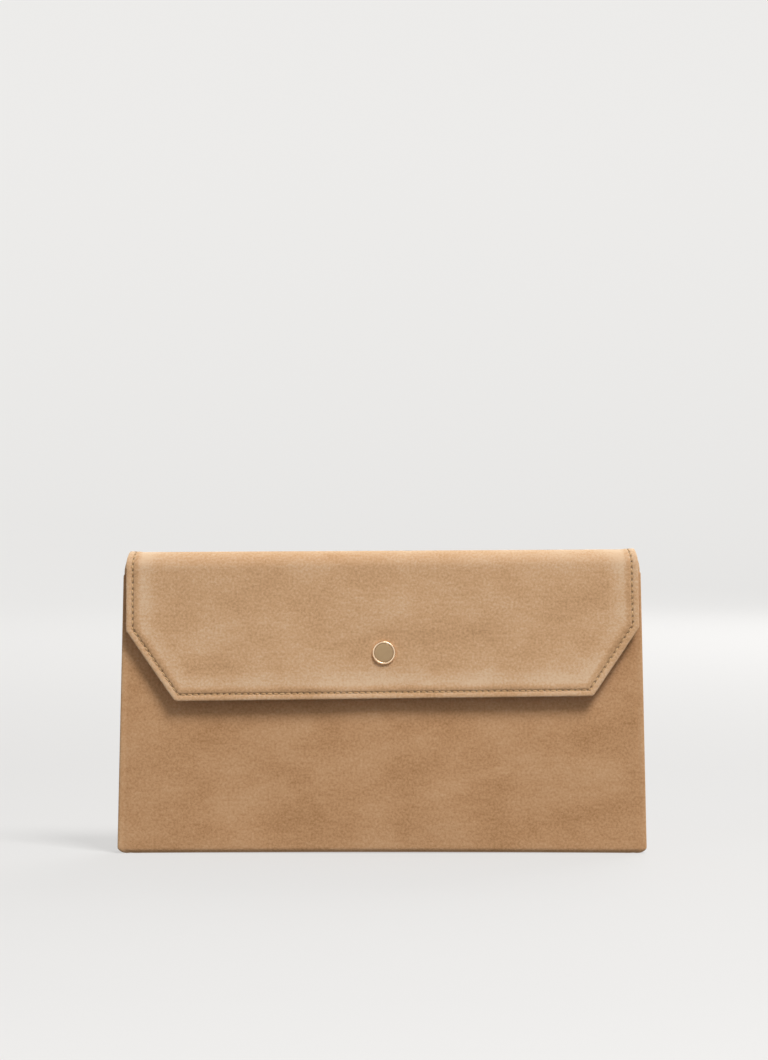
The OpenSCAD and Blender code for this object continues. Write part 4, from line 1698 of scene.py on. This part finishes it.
@dataclass
class SlipPocket:
    """The open pocket sewn to the back lining, bound along its mouth with suede."""

    kit: Kit
    half: float
    low: float
    high: float
    wall: float
    bulge: float = 0.75
    cloth_t: float = 0.35
    binding_h: float = 8.0

    @classmethod
    def from_cad(cls, kit: Kit) -> "SlipPocket":
        """Takes the pocket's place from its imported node."""
        low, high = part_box("slip_pocket")
        return cls(kit, high.x / MM, low.z / MM, high.z / MM, high.y / MM)

    def face(self, x: np.ndarray, z: np.ndarray) -> np.ndarray:
        """y of the pocket's middle surface, standing off where it isn't sewn down."""
        sides = smoothstep((self.half - np.abs(x)) / 16) * smoothstep((z - self.low) / 18)
        sag = 1 + 0.18 * np.sin(x * 0.05 + 1) * np.sin(z * 0.06)
        return self.wall - 0.25 - self.bulge * sides * sag

    def build(self) -> list[bpy.types.Object]:
        """Builds the pocket, its binding and its stitching."""
        kit = self.kit
        x, z = np.meshgrid(np.linspace(-self.half, self.half, 97),
                           np.linspace(self.low, self.high, 53))
        net = np.stack([x, self.face(x, z), z], 2)
        half = self.cloth_t / 2
        pocket = thick_net("slip_pocket_cloth", net, -half, half)
        u = np.linspace(-self.half, self.half, 97)
        lap, rows = 0.42, []
        for place in u:
            y = float(self.face(np.array(place), np.array(self.high)))
            bottom = self.high - self.binding_h
            line = [(y - lap, bottom), (y - lap, self.high - 0.2), (y - lap, self.high + 0.4),
                    (y + lap, self.high + 0.4), (y + lap, self.high - 0.2),
                    (y + lap, self.high - 3.0)]
            flat = resampled(rounded(line, 3), 30)
            rows.append(np.stack([np.full(30, place), flat[:, 0], flat[:, 1]], 1))
        binding = thick_net("slip_pocket_edge_binding", np.array(rows), -0.2, 0.2)
        ring = [(-self.half + 0.8, self.high - 9.2), (-self.half + 0.8, self.low + 0.8),
                (self.half - 0.8, self.low + 0.8), (self.half - 0.8, self.high - 9.2)]
        seam = resampled(np.array(ring), 2 + round((2 * self.half + 2 * (self.high - self.low)) / 3))
        edge = np.stack([np.linspace(-self.half + 2, self.half - 2, 56),
                         np.full(56, self.high - self.binding_h + 1.3)], 1)
        lines = []
        for flat, lift in ((seam, 0.2), (edge, 0.68)):
            y = self.face(flat[:, 0], flat[:, 1]) - lift
            points = np.stack([flat[:, 0], y, flat[:, 1]], 1)
            lines.append((points, np.tile((0.0, -1.0, 0.0), (len(points), 1))))
        stitching = kit.needle.sew("slip_pocket_seam", lines, 2.3, 21, 0.42)
        give = kit.hand_over
        made = [
            give(pocket, kit.finishes.lining, "lining", "back", "slip_pocket"),
            give(binding, kit.finishes.suede, "suede", "back", "slip_pocket_binding"),
            give(stitching, kit.finishes.thread, "thread", "back", "slip_pocket_stitching"),
        ]
        return made


@dataclass
class Seams:
    """The topstitching round the flap, over the fold and along the mouth."""

    kit: Kit
    leather: Leather
    groove: float = 0.36

    def row(self, layout: Tongue | Band, wall: Wall, h: float, up: int,
            low: float, high: float) -> list[tuple[np.ndarray, np.ndarray]]:
        """Finds the stitches of a seam.

        Args:
            layout: The flat outline the seam follows.
            wall: The section it is bent onto.
            h: Height of the face that the thread lies on.
            up: 1 on an outer face and -1 on an inner one.
            low: Where along s the seam starts.
            high: Where along s it ends.

        Returns:
            Rows of the stitches' middles and their normals; a band's seam gives two.
        """
        line, run = seam_line(layout)
        pitch = seam_pitch(layout)
        at = np.arange(round(run[-1] / pitch) + 1) * pitch
        if isinstance(layout, Band):
            at = at[1:-1]
        flat = np.stack([np.interp(at, run, line[:, 0]), np.interp(at, run, line[:, 1])], 1)
        flat = flat[(flat[:, 1] >= low) & (flat[:, 1] <= high)]
        rows = []
        for side in (-1, 1) if isinstance(layout, Band) else (1,):
            there = np.column_stack([flat[:, 0] * side, flat[:, 1], np.full(len(flat), h)])
            points, normals = self.kit.former.place(there, wall)
            rows.append((points, normals * up))
        return rows

    def build(self) -> list[bpy.types.Object]:
        """Sews the four seams."""
        kit, sizes, leather = self.kit, self.kit.sizes, self.leather
        top, end = sizes.s_top, sizes.s_top + 400
        flap, back = leather.flap_layout(top), leather.back_layout(0.0, top)
        front = leather.front_layout()
        mouth = sizes.s_front(sizes.front_h)
        under = -leather.flap_edge - leather.facing + 0.14
        sew, give = kit.needle.sew, kit.hand_over
        outer = sew("stitches_flap", self.row(flap, Wall.FLAP, -self.groove, 1, top, end))
        inner = sew("stitches_flap_underside",
                    self.row(flap, Wall.FLAP, under, -1, sizes.s_at_height(149.5), end), seed=9)
        rear = sew("stitches_fold_back",
                   self.row(back, Wall.BACK, -0.05, 1, top - 11, top - 0.5), seed=14)
        rims = [*self.row(front, Wall.FRONT, -0.1, 1, mouth - 4, mouth + 4),
                *self.row(front, Wall.FRONT, -leather.body_edge, -1, mouth - 4, mouth + 4)]
        hem = sew("stitches_mouth", rims, seed=17)
        thread = kit.finishes.thread
        return [
            give(outer, thread, "thread", kit.over_front, "flap_stitching", "fold_stitching"),
            give(inner, thread, "thread", "flap", "flap_underside_stitching"),
            give(rear, thread, "thread", kit.over_back, "back_fold_stitching"),
            give(hem, thread, "thread", "front", "front_stitching"),
        ]


@dataclass
class Snap:
    """The magnetic snap: a gilt cap with an inlaid disc, over its stud, socket and magnet."""

    kit: Kit
    radius: float
    height: float = 1.5
    inside: float = 5.05
    segments: int = 96

    @classmethod
    def from_cad(cls, kit: Kit) -> "Snap":
        """Takes the cap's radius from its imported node."""
        low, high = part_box("snap_cap")
        return cls(kit, (high.x - low.x) / 2 / MM)

    def turned(self, name: str, profile: Sequence[tuple[float, float]]) -> bpy.types.Object:
        """Turns a closed profile of radius and height round the snap's axis.

        Args:
            name: The piece's name.
            profile: Its points, starting and ending on the axis.

        Returns:
            The object.
        """
        sizes = self.kit.sizes
        seat = np.array([[0.5, sizes.s_at_height(sizes.snap_h + 0.3), 0.0]])
        centre, normal = (v[0] for v in self.kit.former.place(seat, Wall.FLAP))
        across = np.array([1.0, 0.0, 0.0])
        points, faces = revolved(profile, self.segments, True)
        points = centre + points @ np.stack([across, np.cross(normal, across), normal])
        return new_object(name, points, outward(points, faces))

    def build(self) -> list[bpy.types.Object]:
        """Builds the cap and its disc, and finishes the socket's metal parts."""
        kit, r, t, i = self.kit, self.radius, self.height, self.inside
        roll = [(i + 0.5 + 0.5 * math.cos(a), t - 0.42 + 0.42 * math.sin(a))
                for a in np.radians([180, 150, 120, 90, 60, 30, 0])]
        cap = self.turned("snap_cap_rim", [
            (0, 0.5), (i - 0.12, 0.5), (i - 0.03, 0.53), (i, 0.6), (i, 0.9), *roll,
            (r, 0.8), (r, 0.3), (r - 0.06, 0.1), (r - 0.2, 0.0), (r - 0.3, -0.12),
            (r - 0.5, -0.2), (0, -0.2)])
        d = i - 0.07
        disc = self.turned("snap_cap_inlay", [
            (0, 1.22), (1.5, 1.218), (3.0, 1.2), (4.2, 1.165), (d - 0.3, 1.12), (d - 0.12, 1.08),
            (d - 0.03, 1.02), (d, 0.94), (d, 0.6), (d - 0.1, 0.55), (0, 0.55)])
        finishes, give = kit.finishes, kit.hand_over
        made = [
            give(cap, finishes.gilt, "gilt", "flap", "snap_cap"),
            give(disc, finishes.gilt_brushed, "gilt_brushed", "flap", "snap_cap_disc"),
        ]
        kept = {"snap_stud": finishes.gilt, "snap_nipple": finishes.gilt,
                "socket_cover": finishes.gilt, "socket_base": finishes.nickel,
                "socket_washer": finishes.nickel, "socket_magnet": finishes.ferrite,
                "base_board": finishes.board}
        for node, material in kept.items():
            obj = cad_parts[node]
            for slot in obj.material_slots:
                slot.material = material
            LOG.info("kept %s with %s", node, material.name)
        return made


# ---------------------------------------------------------------- studio


@dataclass
class Studio:
    """A pale seamless backdrop, soft light from the upper right, and the camera."""

    distance: float = 2.4
    frame_height: float = 0.5588
    tilt: float = math.radians(1.5)
    aim: tuple[float, float, float] = (0.001, -0.009, 0.171)
    paper: str = "#ECEBE9"

    def backdrop(self) -> None:
        """Builds the round floor that curves up into its wall, and hides it from diffuse and shadow
        rays.
        """
        flat, curve, top, turns = 3.0, 1.4, 6.0, 72
        line = [(r, 0.0) for r in (0.0, 0.5, 1.2, 2.1, flat)]
        line += [(flat + curve * math.sin(a), curve * (1 - math.cos(a)))
                 for a in np.linspace(0, math.pi / 2, 25)[1:]]
        line.append((flat + curve, top))
        points, faces = revolved(line, turns, False)
        sweep = new_object("paper_sweep", points / MM, faces)
        material, tree, shader = start_material("backdrop_matt_paper")
        place = add_node(tree, "ShaderNodeTexCoord").outputs["Object"]
        pulp = add_node(tree, "ShaderNodeTexNoise", Vector=place, Scale=1 / (40 * MM), Detail=3.0)
        mottle = add_node(tree, "ShaderNodeMath", pulp, 0.25, operation="MULTIPLY")
        # lit from behind, so that it stays even; its own grey only takes up the soft shadows
        tint = add_node(tree, "ShaderNodeMix", data_type="RGBA", i0=mottle,
                        i6=to_linear("#858483"), i7=to_linear("#828180")).outputs[2]
        tree.links.new(tint, shader.inputs["Base Color"])
        reach = add_node(tree, "ShaderNodeVectorMath", place, operation="LENGTH")
        glow = add_node(tree, "ShaderNodeMapRange", reach.outputs["Value"], 0.6, 4.2, 0.64, 0.88)
        tree.links.new(glow.outputs[0], shader.inputs["Emission Strength"])
        shader.inputs["Roughness"].default_value = 0.95
        shader.inputs["Specular IOR Level"].default_value = 0.05
        shader.inputs["Emission Color"].default_value = to_linear(self.paper)
        dress(sweep, material)
        sweep.visible_diffuse = False
        sweep.visible_shadow = False

    def lights(self) -> None:
        """Sets a large key light, weak fills at the left and the rear, and the pale room."""
        for name, at, size, power in (
                ("key", (0.95, -1.55, 2.45), 1.0, 80.0), ("fill", (-2.0, -2.4, 1.2), 2.0, 8.0),
                ("rear", (0.9, 2.3, 1.3), 1.6, 26.0)):
            data = bpy.data.lights.new(name, "AREA")
            data.shape, data.size, data.energy = "SQUARE", size, power
            lamp = bpy.data.objects.new(name, data)
            bpy.context.scene.collection.objects.link(lamp)
            lamp.location = at
            aim = Vector((0.0, 0.0, 0.08)) - lamp.location
            lamp.rotation_euler = aim.to_track_quat("-Z", "Y").to_euler()
        world = bpy.data.worlds.new("room")
        world.use_nodes = True
        ground = world.node_tree.nodes["Background"]
        ground.inputs["Color"].default_value = to_linear("#F4F5F8")
        ground.inputs["Strength"].default_value = 0.3
        bpy.context.scene.world = world

    def camera(self) -> None:
        """Sets the camera straight in front, looking slightly down."""
        data = bpy.data.cameras.new("camera")
        data.sensor_fit, data.sensor_height = "VERTICAL", 36.0
        data.lens = 36.0 * self.distance / self.frame_height
        data.clip_start, data.clip_end = 0.05, 50
        camera = bpy.data.objects.new("camera", data)
        bpy.context.scene.collection.objects.link(camera)
        aim = Vector(self.aim)
        step = Vector((0, -math.cos(self.tilt), math.sin(self.tilt))) * self.distance
        camera.location = aim + step
        camera.rotation_euler = (-step).to_track_quat("-Z", "Y").to_euler()
        bpy.context.scene.camera = camera
        bpy.context.scene.view_settings.view_transform = "Standard"

    def build(self) -> None:
        """Builds the whole studio."""
        self.backdrop()
        self.lights()
        self.camera()


def main() -> None:
    """Builds every sub-assembly in order and reports its pieces."""
    logging.basicConfig(level=logging.INFO, format="%(name)s: %(message)s")
    sizes = Sizes.from_cad()
    Studio().build()
    finishes = Finishes.make()
    kit = Kit(sizes, Former(sizes), finishes, Needle(finishes.thread))
    leather = Leather(kit)
    for part in (leather, Linings(kit, leather), Gussets(kit), SlipPocket.from_cad(kit),
                 Seams(kit, leather), Snap.from_cad(kit)):
        for piece in part.build():
            LOG.info("%s: %s, %d faces", type(part).__name__, piece.name,
                     len(piece.data.polygons))
    bpy.context.view_layer.update()


if __name__ == "__main__":
    main()
